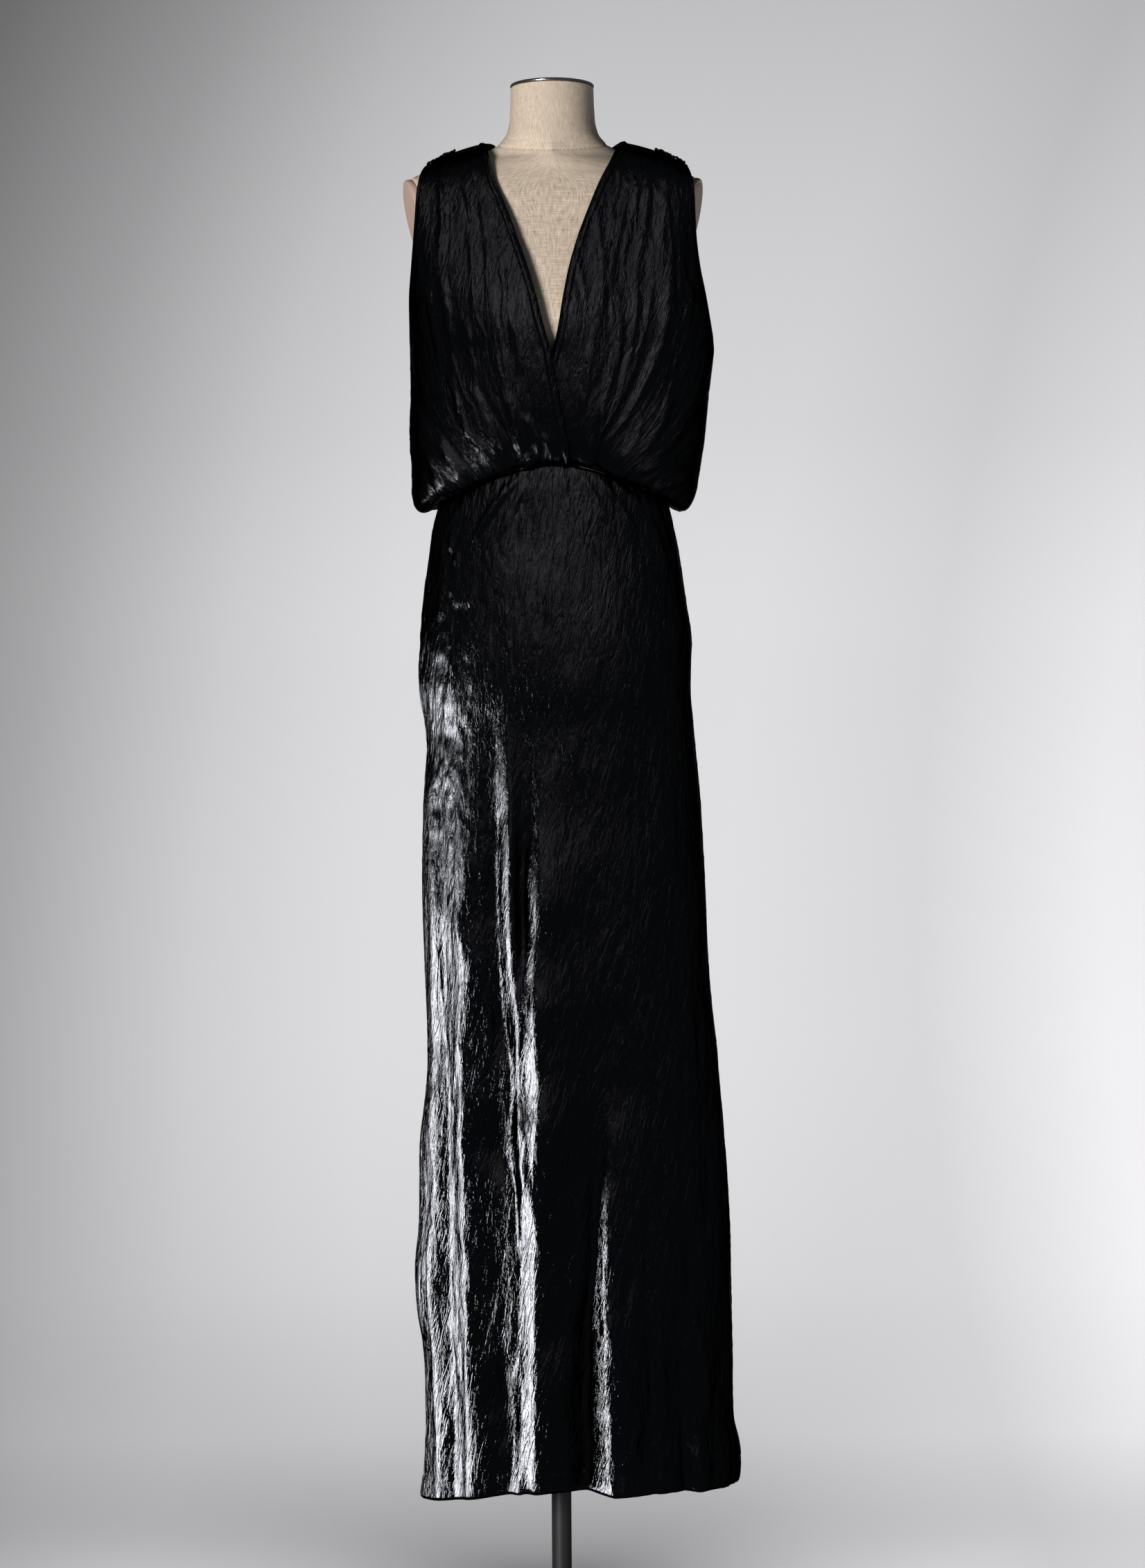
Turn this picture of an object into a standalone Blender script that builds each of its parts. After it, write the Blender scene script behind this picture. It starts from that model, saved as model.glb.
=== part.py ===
"""Sleeveless crushed-velvet maxi dress with a wrapped V neck, worn by a limbless dress form on a pole stand.

Metres, +Z up. The front faces -Y and +X is on the viewer's right (the wearer's left).
The origin is the centre of the stand's underside.
"""
import math

import bmesh
import bpy
import numpy as np

OBJECT_NAME = "maxi_dress_on_dress_form"

# cloth
CLOTH_WALL = 0.0018          # the velvet with its pile
SEAM_GAP = 0.0004            # space left between two pieces at a seam
LAP_LIFT = 0.0036            # how far the lapping front lies outside the front under it
LAP_START = -0.125           # where the lapping front starts to lift, across the body
LAP_RISE = 0.055             # the width over which it lifts
SIDE_ROUNDNESS = 2.3         # exponent of the cloth's level sections: 2 is an ellipse

# stand
BASE_RADIUS = 0.190
BASE_THICKNESS = 0.008
SOCKET_RADIUS = 0.024
SOCKET_HEIGHT = 0.060
POLE_RADIUS = 0.0125
JOINT_GAP = 0.0003

# dress form
FORM_BOTTOM = 1.170
NECK_TOP = 1.9835
NECK_RADIUS = 0.0525
CAP_RADIUS = 0.0532
CAP_RIM = 0.0045
CAP_DOME = 0.0065
PLATE_HEIGHT = 0.110
PLATE_DEPTH = 0.074
PLATE_THICKNESS = 0.009
PLATE_CENTRE_Z = 1.815
PLATE_CENTRE_X = 0.1718
PLATE_LEAN = math.radians(14.0)    # the plate's top stands out
PLATE_TURN = math.radians(15.0)    # and its face is turned a little to the front


def table(columns, rows):
    """The named columns of a short table, each as an array with a value per row."""
    return dict(zip(columns.split(), np.array(rows, dtype=float).T))


# Level sections of the form, bottom to top. round is the section's exponent: 2 is an ellipse, 1 a diamond.
FORM = table(
    "z     width  front  back   round", [
    (1.170, 0.1500, 0.0980, 0.1040, 2.2),
    (1.180, 0.1600, 0.1080, 0.1140, 2.2),
    (1.205, 0.1655, 0.1125, 0.1190, 2.2),
    (1.260, 0.1670, 0.1140, 0.1200, 2.2),
    (1.330, 0.1605, 0.1100, 0.1120, 2.2),
    (1.400, 0.1440, 0.1010, 0.0980, 2.1),
    (1.460, 0.1265, 0.0940, 0.0860, 2.1),
    (1.500, 0.1210, 0.0910, 0.0820, 2.1),
    (1.545, 0.1265, 0.0960, 0.0860, 2.1),
    (1.600, 0.1405, 0.1110, 0.0940, 2.1),
    (1.655, 0.1515, 0.1230, 0.0980, 2.2),
    (1.705, 0.1540, 0.1180, 0.0990, 2.3),
    (1.745, 0.1480, 0.1060, 0.0965, 2.4),
    (1.775, 0.1600, 0.0950, 0.0930, 2.6),
    (1.805, 0.1740, 0.0830, 0.0835, 2.8),
    (1.842, 0.1830, 0.0700, 0.0760, 3.0),
    (1.862, 0.1880, 0.0610, 0.0675, 2.4),
    (1.873, 0.1740, 0.0570, 0.0630, 1.8),
    (1.881, 0.1530, 0.0560, 0.0615, 1.5),
    (1.888, 0.1320, 0.0555, 0.0620, 1.3),
    (1.893, 0.1150, 0.0550, 0.0610, 1.2),
    (1.903, 0.0860, 0.0550, 0.0590, 1.3),
    (1.911, 0.0705, 0.0550, 0.0580, 1.6),
    (1.920, 0.0615, 0.0545, 0.0565, 1.9),
    (1.933, 0.0560, 0.0535, 0.0550, 2.0),
    (1.955, 0.0535, 0.0530, 0.0535, 2.0),
    (NECK_TOP, NECK_RADIUS, NECK_RADIUS, NECK_RADIUS, 2.0),
])

# Bodice rows, waist seam to shoulder seam. mid and side are heights on the centre line and at the side edge,
# bow says how the height falls between them, left and right are the side edges' distances across,
# fore and front the depths of the front's side edge and centre, aft and back those of the back,
# lap and under the places across of the two fronts' inner edges.
BODICE = table(
    "mid     side    bow  left    right   fore    front   aft     back    lap      under", [
    (1.4992, 1.4535, 1.5, 0.1495, 0.1465, 0.0000, 0.1075, 0.0000, 0.1010, 0.0205, -0.0600),
    (1.5015, 1.4482, 1.5, 0.1600, 0.1560, 0.0000, 0.1120, 0.0000, 0.1050, 0.0205, -0.0590),
    (1.5045, 1.4468, 1.5, 0.1700, 0.1645, 0.0000, 0.1165, 0.0000, 0.1090, 0.0203, -0.0575),
    (1.5085, 1.4530, 1.5, 0.1775, 0.1720, 0.0000, 0.1200, 0.0000, 0.1120, 0.0198, -0.0555),
    (1.5160, 1.4680, 1.5, 0.1810, 0.1790, 0.0000, 0.1240, 0.0000, 0.1150, 0.0183, -0.0515),
    (1.5300, 1.4920, 1.5, 0.1815, 0.1835, 0.0000, 0.1285, 0.0000, 0.1170, 0.0156, -0.0440),
    (1.5637, 1.5400, 1.5, 0.1815, 0.1910, 0.0000, 0.1325, 0.0000, 0.1180, 0.0097, -0.0280),
    (1.6013, 1.5950, 1.5, 0.1820, 0.1965, 0.0000, 0.1345, 0.0000, 0.1185, 0.0030, -0.0120),
    (1.6317, 1.6440, 1.5, 0.1825, 0.2020, 0.0000, 0.1350, 0.0000, 0.1175, -0.0020, -0.0020),
    (1.6658, 1.6790, 1.5, 0.1820, 0.1985, 0.0200, 0.1345, 0.0180, 0.1155, -0.0118, 0.0059),
    (1.7050, 1.7150, 1.5, 0.1815, 0.1920, 0.0370, 0.1300, 0.0320, 0.1130, -0.0210, 0.0125),
    (1.7450, 1.7480, 1.5, 0.1785, 0.1850, 0.0470, 0.1190, 0.0430, 0.1090, -0.0324, 0.0207),
    (1.7860, 1.7830, 1.5, 0.1755, 0.1805, 0.0510, 0.1020, 0.0480, 0.1030, -0.0455, 0.0325),
    (1.8280, 1.8170, 1.6, 0.1730, 0.1790, 0.0500, 0.0850, 0.0490, 0.0940, -0.0594, 0.0475),
    (1.8600, 1.8430, 1.8, 0.1715, 0.1785, 0.0460, 0.0710, 0.0460, 0.0840, -0.0710, 0.0600),
    (1.8850, 1.8620, 2.0, 0.1690, 0.1765, 0.0370, 0.0560, 0.0380, 0.0720, -0.0770, 0.0715),
    (1.9060, 1.8770, 2.3, 0.1655, 0.1730, 0.0200, 0.0360, 0.0220, 0.0520, -0.0815, 0.0795),
    (1.9216, 1.8826, 2.5, 0.1620, 0.1700, 0.0000, 0.0000, 0.0000, 0.0000, -0.0840, 0.0850),
])
UNDERARM_ROW = 8             # below it the front and the back are sewn together at the side
NECK_SIDE = 0.084            # half-width of the back neckline at the shoulder seam
BACK_NECK_DROP = 2.1         # rows by which the back neckline dips at the centre

# Skirt rows, waist seam to hem. left_z and right_z are the heights at the side seams.
SKIRT = table(
    "mid     left_z  right_z left    right   front   back", [
    (1.4986, 1.4527, 1.4527, 0.1480, 0.1450, 0.1065, 0.1000),
    (1.4720, 1.4276, 1.4276, 0.1544, 0.1504, 0.1100, 0.1050),
    (1.4270, 1.3924, 1.3924, 0.1595, 0.1574, 0.1140, 0.1110),
    (1.3810, 1.3572, 1.3572, 0.1645, 0.1625, 0.1175, 0.1170),
    (1.3350, 1.3220, 1.3220, 0.1685, 0.1675, 0.1210, 0.1225),
    (1.2900, 1.2868, 1.2868, 0.1716, 0.1726, 0.1235, 0.1265),
    (1.2516, 1.2516, 1.2516, 0.1726, 0.1716, 0.1245, 0.1285),
    (1.2164, 1.2164, 1.2164, 0.1726, 0.1705, 0.1245, 0.1285),
    (1.1812, 1.1812, 1.1812, 0.1668, 0.1736, 0.1225, 0.1260),
    (1.1460, 1.1460, 1.1460, 0.1645, 0.1766, 0.1220, 0.1250),
    (1.0756, 1.0756, 1.0756, 0.1695, 0.1827, 0.1230, 0.1250),
    (0.9700, 0.9700, 0.9700, 0.1716, 0.1877, 0.1250, 0.1260),
    (0.8644, 0.8644, 0.8644, 0.1690, 0.1918, 0.1270, 0.1280),
    (0.7588, 0.7588, 0.7588, 0.1655, 0.2008, 0.1290, 0.1300),
    (0.6532, 0.6532, 0.6532, 0.1750, 0.2095, 0.1310, 0.1320),
    (0.5476, 0.5476, 0.5476, 0.1786, 0.2160, 0.1330, 0.1345),
    (0.4772, 0.4772, 0.4772, 0.1840, 0.2170, 0.1345, 0.1360),
    (0.3800, 0.3800, 0.3800, 0.1735, 0.2185, 0.1360, 0.1375),
    (0.3012, 0.3012, 0.3012, 0.1716, 0.2190, 0.1375, 0.1390),
    (0.2620, 0.2420, 0.2560, 0.1720, 0.2275, 0.1390, 0.1400),
    (0.2297, 0.2026, 0.2185, 0.1780, 0.2260, 0.1400, 0.1410),
])

# Skirt folds. start and end are the ridge's places across at its top and at the hem, as fractions of the side
# seam's distance, top is the height where it starts, depth is how far it stands out at the hem.
FRONT_FOLDS = table(
    "start  end    top   depth  width", [
    (-0.90, -0.87, 1.30, 0.011, 0.060),
    (-0.69, -0.67, 1.24, 0.019, 0.090),
    (-0.24, -0.19, 1.28, 0.020, 0.095),
    (0.38, 0.33, 0.98, 0.018, 0.090),
    (0.72, 0.77, 0.60, 0.009, 0.070),
])
BACK_FOLDS = table(
    "start  end    top   depth  width", [
    (-0.70, -0.76, 1.12, 0.015, 0.085),
    (-0.34, -0.44, 1.24, 0.020, 0.090),
    (0.02, -0.04, 1.30, 0.016, 0.085),
    (0.34, 0.40, 1.20, 0.020, 0.090),
    (0.68, 0.76, 1.05, 0.015, 0.085),
])

# Bodice folds, from the gathers at the shoulder to those at the waist. waist and shoulder are places across,
# as fractions of the side edge's distance.
BODICE_FOLDS = table(
    "waist  shoulder depth  width", [
    (0.88, 0.94, 0.0040, 0.060),
    (0.68, 0.82, 0.0050, 0.060),
    (0.46, 0.70, 0.0050, 0.060),
    (0.26, 0.58, 0.0045, 0.060),
])


def power(value, exponent):
    """A signed power, which keeps the side of the body that a value is on."""
    return np.sign(value) * np.abs(value) ** exponent


def smooth(value):
    """A ramp from 0 to 1 that starts and ends level."""
    value = np.clip(value, 0.0, 1.0)
    return value * value * (3.0 - 2.0 * value)


def section_depth(fraction, edge, centre, roundness):
    """Depth at a fraction of the way across: an oval from the edge's depth, at 1, to the centre's, at 0."""
    return edge + (centre - edge) * (1.0 - np.abs(fraction) ** roundness) ** (1.0 / roundness)


def across(count, start, end):
    """Places across a section, from start to end, crowded towards the sides where the oval turns."""
    return np.sin(np.linspace(math.asin(start), math.asin(end), count))


def surface_normals(points):
    """Unit normals of a grid of points, from its differences along the rows and along the columns."""
    along_rows = np.gradient(points, axis=0)
    along_columns = np.gradient(points, axis=1)
    normals = np.cross(along_columns, along_rows)
    return normals / np.linalg.norm(normals, axis=2, keepdims=True)


def flatten_normals(normals, where, axis):
    """Turn the normals at a seam square to it, so that two panels' edges face each other."""
    part = normals[where].copy()
    part[..., axis] = 0.0
    normals[where] = part / np.linalg.norm(part, axis=-1, keepdims=True)


def material(name, color, roughness, metallic=0.0):
    """A Principled material."""
    made = bpy.data.materials.new(name)
    made.use_nodes = True
    shader = made.node_tree.nodes["Principled BSDF"]
    shader.inputs["Base Color"].default_value = (*color, 1.0)
    shader.inputs["Roughness"].default_value = roughness
    shader.inputs["Metallic"].default_value = metallic
    return made


def place_mesh(name, points, faces, collection, finish):
    """An object from points and faces, with its faces turned outwards."""
    mesh = bpy.data.meshes.new(name)
    mesh.from_pydata([tuple(point) for point in points], [], faces)
    work = bmesh.new()
    work.from_mesh(mesh)
    bmesh.ops.recalc_face_normals(work, faces=work.faces)
    work.to_mesh(mesh)
    work.free()
    mesh.shade_smooth()
    mesh.set_sharp_from_angle(angle=math.radians(50))
    mesh.materials.append(finish)
    made = bpy.data.objects.new(name, mesh)
    collection.objects.link(made)
    return made


def cloth_panel(name, outside, normals, collection, finish):
    """A panel of cloth: the outer face's grid, an inner one a wall's thickness behind it, and the cut edges."""
    rows, columns = outside.shape[:2]
    inside = outside - normals * CLOTH_WALL
    points = np.concatenate([outside.reshape(-1, 3), inside.reshape(-1, 3)])
    index = np.arange(rows * columns).reshape(rows, columns)
    behind = rows * columns
    faces = []
    for row in range(rows - 1):
        for column in range(columns - 1):
            corners = (index[row, column], index[row, column + 1], index[row + 1, column + 1], index[row + 1, column])
            faces.append(tuple(int(corner) for corner in corners))
            faces.append(tuple(int(corner) + behind for corner in reversed(corners)))
    border = [*index[0, :-1], *index[:-1, -1], *index[-1, :0:-1], *index[:0:-1, 0]]
    for first, second in zip(border, border[1:] + border[:1]):
        faces.append((int(second), int(first), int(first) + behind, int(second) + behind))
    return place_mesh(name, points, faces, collection, finish)


def bodice_points(rows, places, facing):
    """Points of the bodice at fractional rows and places across. facing is -1 for a front and 1 for the back."""
    steps = np.arange(len(BODICE["mid"]))
    value = {column: np.interp(rows, steps, BODICE[column]) for column in BODICE}
    side = np.where(places < 0.0, value["left"], value["right"])
    height = value["side"] + (value["mid"] - value["side"]) * (1.0 - np.abs(places) ** value["bow"])
    edge, centre = (value["fore"], value["front"]) if facing < 0 else (value["aft"], value["back"])
    depth = section_depth(places, edge, centre, SIDE_ROUNDNESS)
    return np.stack([places * side, facing * depth, height], axis=-1)


def bodice_fold_height(rows, places):
    """How far the bodice's folds stand out: soft ridges that fan from the shoulder in to the waist."""
    rise = rows / (len(BODICE["mid"]) - 1.0)
    height = np.zeros_like(places)
    for waist, shoulder, depth, width in zip(*BODICE_FOLDS.values()):
        ridge = waist + (shoulder - waist) * rise
        height += depth * np.exp(-((np.abs(places) - ridge) / width) ** 2)
    return height * smooth(rise * 9.0) * smooth((1.0 - rise) * 8.0)


def bodice_front(name, inner_edge, outer_sign, lift, collection, finish):
    """One front: from its side seam and armhole to its inner edge, which slants from the shoulder to the waist."""
    side = BODICE["left"] if outer_sign < 0 else BODICE["right"]
    inner = np.where(inner_edge < 0.0, inner_edge / BODICE["left"], inner_edge / BODICE["right"])
    if outer_sign < 0:
        places = np.array([across(15, -1.0, place) for place in inner])
    else:
        places = np.array([across(15, place, 1.0) for place in inner])
    rows = np.repeat(np.arange(len(side), dtype=float)[:, None], places.shape[1], axis=1)
    points = bodice_points(rows, places, -1)
    normals = surface_normals(points)
    hidden = smooth((LAP_RISE - points[..., 0]) / LAP_RISE) if outer_sign > 0 else np.zeros_like(places)
    out = bodice_fold_height(rows, places) * (1.0 - hidden)
    out += lift * smooth((points[..., 0] - LAP_START) / LAP_RISE) * smooth((12.0 - rows) / 4.0)
    points = points + normals * out[..., None]
    normals = surface_normals(points)
    seam_column = 0 if outer_sign < 0 else -1
    flatten_normals(normals, (slice(0, UNDERARM_ROW + 1), seam_column), 1)
    flatten_normals(normals, (-1, slice(None)), 1)
    points[..., 1] -= SEAM_GAP / 2.0
    return cloth_panel(name, points, normals, collection, finish)


def bodice_back(collection, finish):
    """The back: one panel, whose middle columns stop lower down and so make the neckline."""
    last = len(BODICE["mid"]) - 1.0
    places = np.repeat(across(27, -1.0, 1.0)[None, :], len(BODICE["mid"]), axis=0)
    reach = np.abs(places[0]) * BODICE["left"][-1] / NECK_SIDE
    top = last - BACK_NECK_DROP * smooth((1.0 - reach) * 1.6)
    rows = np.linspace(0.0, 1.0, len(BODICE["mid"]))[:, None] * top[None, :]
    points = bodice_points(rows, places, 1)
    normals = -surface_normals(points)
    points = points + normals * bodice_fold_height(rows, places)[..., None]
    normals = -surface_normals(points)
    for column in (0, -1):
        flatten_normals(normals, (slice(0, UNDERARM_ROW + 1), column), 1)
    flatten_normals(normals, (-1, reach >= 1.0), 1)
    points[..., 1] += SEAM_GAP / 2.0
    return cloth_panel("bodice_back", points, normals, collection, finish)


def fold_height(folds, places, heights):
    """How far the skirt's folds stand out: ridges that start at their own height and deepen to the hem."""
    total = np.zeros_like(places)
    hem = SKIRT["mid"][-1]
    for start, end, top, depth, width in zip(*folds.values()):
        fall = np.clip((top - heights) / (top - hem), 0.0, 1.0)
        ridge = start + (end - start) * fall
        total += depth * smooth(fall * 1.3) * np.exp(-((places - ridge) / width) ** 2)
    return total


def skirt_panel(name, facing, columns, folds, collection, finish):
    """The front or the back of the skirt, from side seam to side seam. facing is -1 for the front."""
    count = len(SKIRT["mid"])
    places = np.repeat(across(columns, -1.0, 1.0)[None, :], count, axis=0)
    value = {column: SKIRT[column][:, None] for column in SKIRT}
    side = np.where(places < 0.0, value["left"], value["right"])
    side_z = np.where(places < 0.0, value["left_z"], value["right_z"])
    height = side_z + (value["mid"] - side_z) * (1.0 - np.abs(places) ** 1.5)
    depth = section_depth(places, 0.0, value["front"] if facing < 0 else value["back"], SIDE_ROUNDNESS)
    points = np.stack([places * side, facing * depth, height], axis=-1)
    normals = facing * surface_normals(points)
    points = points + normals * fold_height(folds, places, height)[..., None]
    normals = facing * surface_normals(points)
    for column in (0, -1):
        flatten_normals(normals, (slice(None), column), 1)
    flatten_normals(normals, (0, slice(None)), 2)
    points[..., 1] += facing * SEAM_GAP / 2.0
    return cloth_panel(name, points, normals, collection, finish)


def form_body(collection, finish):
    """The torso and neck: level sections, flat at the armholes where the end plates are fixed."""
    count = 32
    angles = np.linspace(0.0, 2.0 * math.pi, count, endpoint=False)
    exponent = 2.0 / FORM["round"][:, None]
    x = FORM["width"][:, None] * power(np.cos(angles), exponent)
    depth = np.where(np.sin(angles) > 0.0, FORM["back"][:, None], FORM["front"][:, None])
    y = depth * power(np.sin(angles), exponent)
    z = np.repeat(FORM["z"][:, None], count, axis=1)
    out_x = math.cos(PLATE_LEAN) * math.cos(PLATE_TURN)
    behind = PLATE_THICKNESS / 2.0 + 0.0016
    limit = PLATE_CENTRE_X + (math.sin(PLATE_LEAN) * (z - PLATE_CENTRE_Z)
                              + math.cos(PLATE_LEAN) * math.sin(PLATE_TURN) * y - behind) / out_x
    beside_plate = np.abs(z - PLATE_CENTRE_Z) < PLATE_HEIGHT * 0.62
    x = np.where(beside_plate, np.clip(x, -limit, limit), x)
    points = np.stack([x, y, z], axis=-1).reshape(-1, 3)
    faces = []
    for row in range(len(FORM["z"]) - 1):
        for column in range(count):
            after = (column + 1) % count
            low = row * count
            faces.append((low + column, low + after, low + count + after, low + count + column))
    faces.append(tuple(reversed(range(count))))
    faces.append(tuple(range(len(points) - count, len(points))))
    return place_mesh("form_body", points, faces, collection, finish)


def turned(name, profile, steps, base_z, collection, finish):
    """A solid of revolution: a profile of (radius, height) carried round the vertical axis."""
    mesh = bpy.data.meshes.new(name)
    mesh.from_pydata([(radius, 0.0, height) for radius, height in profile], [],
                     [(step, step + 1) for step in range(len(profile) - 1)])
    mesh.materials.append(finish)
    made = bpy.data.objects.new(name, mesh)
    made.location.z = base_z
    collection.objects.link(made)
    screw = made.modifiers.new("Turn", "SCREW")
    screw.steps = steps
    screw.render_steps = steps
    screw.use_merge_vertices = True
    screw.merge_threshold = 0.00001
    screw.use_smooth_shade = True
    return made


def cylinder(name, radius, depth, centre, vertices, collection, finish, edge=0.0):
    """A primitive cylinder with bevelled edges."""
    bpy.ops.mesh.primitive_cylinder_add(vertices=vertices, radius=radius, depth=depth, location=centre)
    made = bpy.context.object
    made.name = name
    made.data.name = name
    made.data.materials.append(finish)
    made.data.shade_smooth()
    made.data.set_sharp_from_angle(angle=math.radians(35))
    for holder in list(made.users_collection):
        holder.objects.unlink(made)
    collection.objects.link(made)
    if edge:
        bevel = made.modifiers.new("Edge", "BEVEL")
        bevel.width = edge
        bevel.segments = 1
        bevel.limit_method = "ANGLE"
    return made


def arm_plate(name, sign, collection, finish):
    """The flat oval plate that closes the form's armhole, leaning out at the top and turned a little forward."""
    made = cylinder(name, 0.5, PLATE_THICKNESS, (0.0, 0.0, 0.0), 28, collection, finish, 0.0015)
    for vertex in made.data.vertices:
        vertex.co.x *= PLATE_HEIGHT
        vertex.co.y *= PLATE_DEPTH
    made.rotation_euler = (0.0, sign * (math.radians(90.0) + PLATE_LEAN), -sign * PLATE_TURN)
    made.location = (sign * PLATE_CENTRE_X, 0.0, PLATE_CENTRE_Z)
    return made


def build():
    for existing in list(bpy.data.objects):
        bpy.data.objects.remove(existing, do_unlink=True)
    collection = bpy.data.collections.new(OBJECT_NAME)
    bpy.context.scene.collection.children.link(collection)
    velvet = material("black_velvet", (0.010, 0.010, 0.012), 0.45)
    linen = material("linen", (0.50, 0.42, 0.32), 0.85)
    chrome = material("chrome", (0.80, 0.80, 0.80), 0.12, 1.0)
    plate_finish = material("plate", (0.42, 0.31, 0.25), 0.55)
    black_paint = material("black_paint", (0.02, 0.02, 0.022), 0.40)

    bodice_front("bodice_front_right", BODICE["lap"], -1, LAP_LIFT, collection, velvet)
    bodice_front("bodice_front_left", BODICE["under"], 1, 0.0, collection, velvet)
    bodice_back(collection, velvet)
    skirt_panel("skirt_front", -1, 29, FRONT_FOLDS, collection, velvet)
    skirt_panel("skirt_back", 1, 25, BACK_FOLDS, collection, velvet)

    form_body(collection, linen)
    cap_profile = [(0.0, 0.0), (CAP_RADIUS * 0.97, 0.0), (CAP_RADIUS, CAP_RIM * 0.25),
                   (CAP_RADIUS, CAP_RIM * 0.75), (CAP_RADIUS * 0.93, CAP_RIM),
                   (CAP_RADIUS * 0.55, CAP_RIM + CAP_DOME * 0.7), (0.0, CAP_RIM + CAP_DOME)]
    turned("neck_cap", cap_profile, 32, NECK_TOP + JOINT_GAP, collection, chrome)
    arm_plate("arm_plate_left", 1, collection, plate_finish)
    arm_plate("arm_plate_right", -1, collection, plate_finish)

    pole_bottom = BASE_THICKNESS + SOCKET_HEIGHT + JOINT_GAP
    pole_length = FORM_BOTTOM - JOINT_GAP - pole_bottom
    cylinder("pole", POLE_RADIUS, pole_length, (0.0, 0.0, pole_bottom + pole_length / 2.0), 24, collection,
             black_paint)
    socket_profile = [(0.0, 0.0), (SOCKET_RADIUS * 1.25, 0.0), (SOCKET_RADIUS, SOCKET_HEIGHT * 0.2),
                      (SOCKET_RADIUS * 0.80, SOCKET_HEIGHT * 0.95), (SOCKET_RADIUS * 0.72, SOCKET_HEIGHT),
                      (0.0, SOCKET_HEIGHT)]
    turned("base_socket", socket_profile, 24, BASE_THICKNESS + JOINT_GAP, collection, black_paint)
    cylinder("base_disc", BASE_RADIUS, BASE_THICKNESS, (0.0, 0.0, BASE_THICKNESS / 2.0), 40, collection,
             black_paint, 0.002)


build()
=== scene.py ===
import math

import bpy
import numpy as np
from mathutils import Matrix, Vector


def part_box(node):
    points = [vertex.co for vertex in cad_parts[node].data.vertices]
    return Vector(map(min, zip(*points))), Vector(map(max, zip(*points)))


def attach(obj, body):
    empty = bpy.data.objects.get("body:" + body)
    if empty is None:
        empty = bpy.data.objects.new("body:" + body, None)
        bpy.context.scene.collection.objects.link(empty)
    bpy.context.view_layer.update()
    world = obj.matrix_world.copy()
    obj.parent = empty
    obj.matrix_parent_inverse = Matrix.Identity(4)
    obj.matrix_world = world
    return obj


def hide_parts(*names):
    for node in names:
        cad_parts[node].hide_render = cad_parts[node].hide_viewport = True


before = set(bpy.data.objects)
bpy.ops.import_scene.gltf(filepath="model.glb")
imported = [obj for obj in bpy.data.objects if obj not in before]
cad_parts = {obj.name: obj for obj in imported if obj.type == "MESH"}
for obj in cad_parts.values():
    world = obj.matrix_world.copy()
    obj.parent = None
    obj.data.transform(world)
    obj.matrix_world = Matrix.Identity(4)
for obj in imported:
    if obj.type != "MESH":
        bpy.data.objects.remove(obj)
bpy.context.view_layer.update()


# ---------------------------------------------------------------- stand
# A round steel disc, a pressed socket and a steel tube, all painted satin black. The tube stands in the
# socket and carries the form.

def placed(name, mesh, finish):
    """A smooth mesh in its finish, as a piece that rides on the root."""
    mesh.shade_smooth()
    mesh.materials.append(finish)
    piece = bpy.data.objects.new(name, mesh)
    bpy.context.scene.collection.objects.link(piece)
    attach(piece, "root")
    return piece


def merged(piece, distance):
    """The piece with its points that lie within the distance of each other merged."""
    piece.modifiers.new("Join", "WELD").merge_threshold = distance
    return piece


def surface(name, points, uv, finish, thickness=0.0, reverse=None):
    """Four-sided faces over a grid of points, rows running bottom to top and columns anticlockwise seen
    from above, so that faces point outwards. uv holds each point's distances across and along, in metres. A
    thickness grows inwards, with the reverse's finish on the inner side."""
    rows, columns = points.shape[:2]
    index = np.arange(rows * columns).reshape(rows, columns)
    corners = (np.s_[:-1, :-1], np.s_[:-1, 1:], np.s_[1:, 1:], np.s_[1:, :-1])
    quads = np.stack([index[corner] for corner in corners], axis=-1)
    corner_uv = np.stack([uv[corner] for corner in corners], axis=2)
    mesh = bpy.data.meshes.new(name)
    mesh.vertices.add(rows * columns)
    mesh.vertices.foreach_set("co", points.reshape(-1).astype(np.float32))
    mesh.loops.add(quads.size)
    mesh.loops.foreach_set("vertex_index", quads.reshape(-1).astype(np.int32))
    mesh.polygons.add(quads.size // 4)
    mesh.polygons.foreach_set("loop_start", np.arange(0, quads.size, 4, dtype=np.int32))
    mesh.update(calc_edges=True)
    layer = mesh.uv_layers.new(name="Cloth")
    layer.data.foreach_set("uv", corner_uv.reshape(-1).astype(np.float32))
    piece = placed(name, mesh, finish)
    if thickness:
        wall = piece.modifiers.new("Wall", "SOLIDIFY")
        wall.thickness = thickness
        wall.offset = -1.0
        if reverse is not None:
            mesh.materials.append(reverse)
            wall.material_offset = 1
    return piece


def closed_surface(name, points, uv, finish):
    """The same for a skin that goes all round, whose last column meets the first."""
    return merged(surface(name, points, uv, finish), 0.00002)


def turned(name, profile, finish, sides=96):
    """A profile of (radius, height), bottom to top, carried round the vertical axis."""
    profile = np.array(profile, dtype=float)
    turn = np.linspace(0.0, math.tau, sides + 1)[None, :]
    radius = profile[:, 0:1]
    height = np.repeat(profile[:, 1:2], sides + 1, axis=1)
    points = np.stack([radius * np.cos(turn), radius * np.sin(turn), height], axis=-1)
    along = np.concatenate([[0.0], np.cumsum(np.linalg.norm(np.diff(profile, axis=0), axis=1))])[:, None]
    uv = np.stack([np.repeat(turn, len(profile), axis=0) * profile[:, 0].max(),
                   np.repeat(along, sides + 1, axis=1)], axis=-1)
    return closed_surface(name, points, uv, finish)


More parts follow.
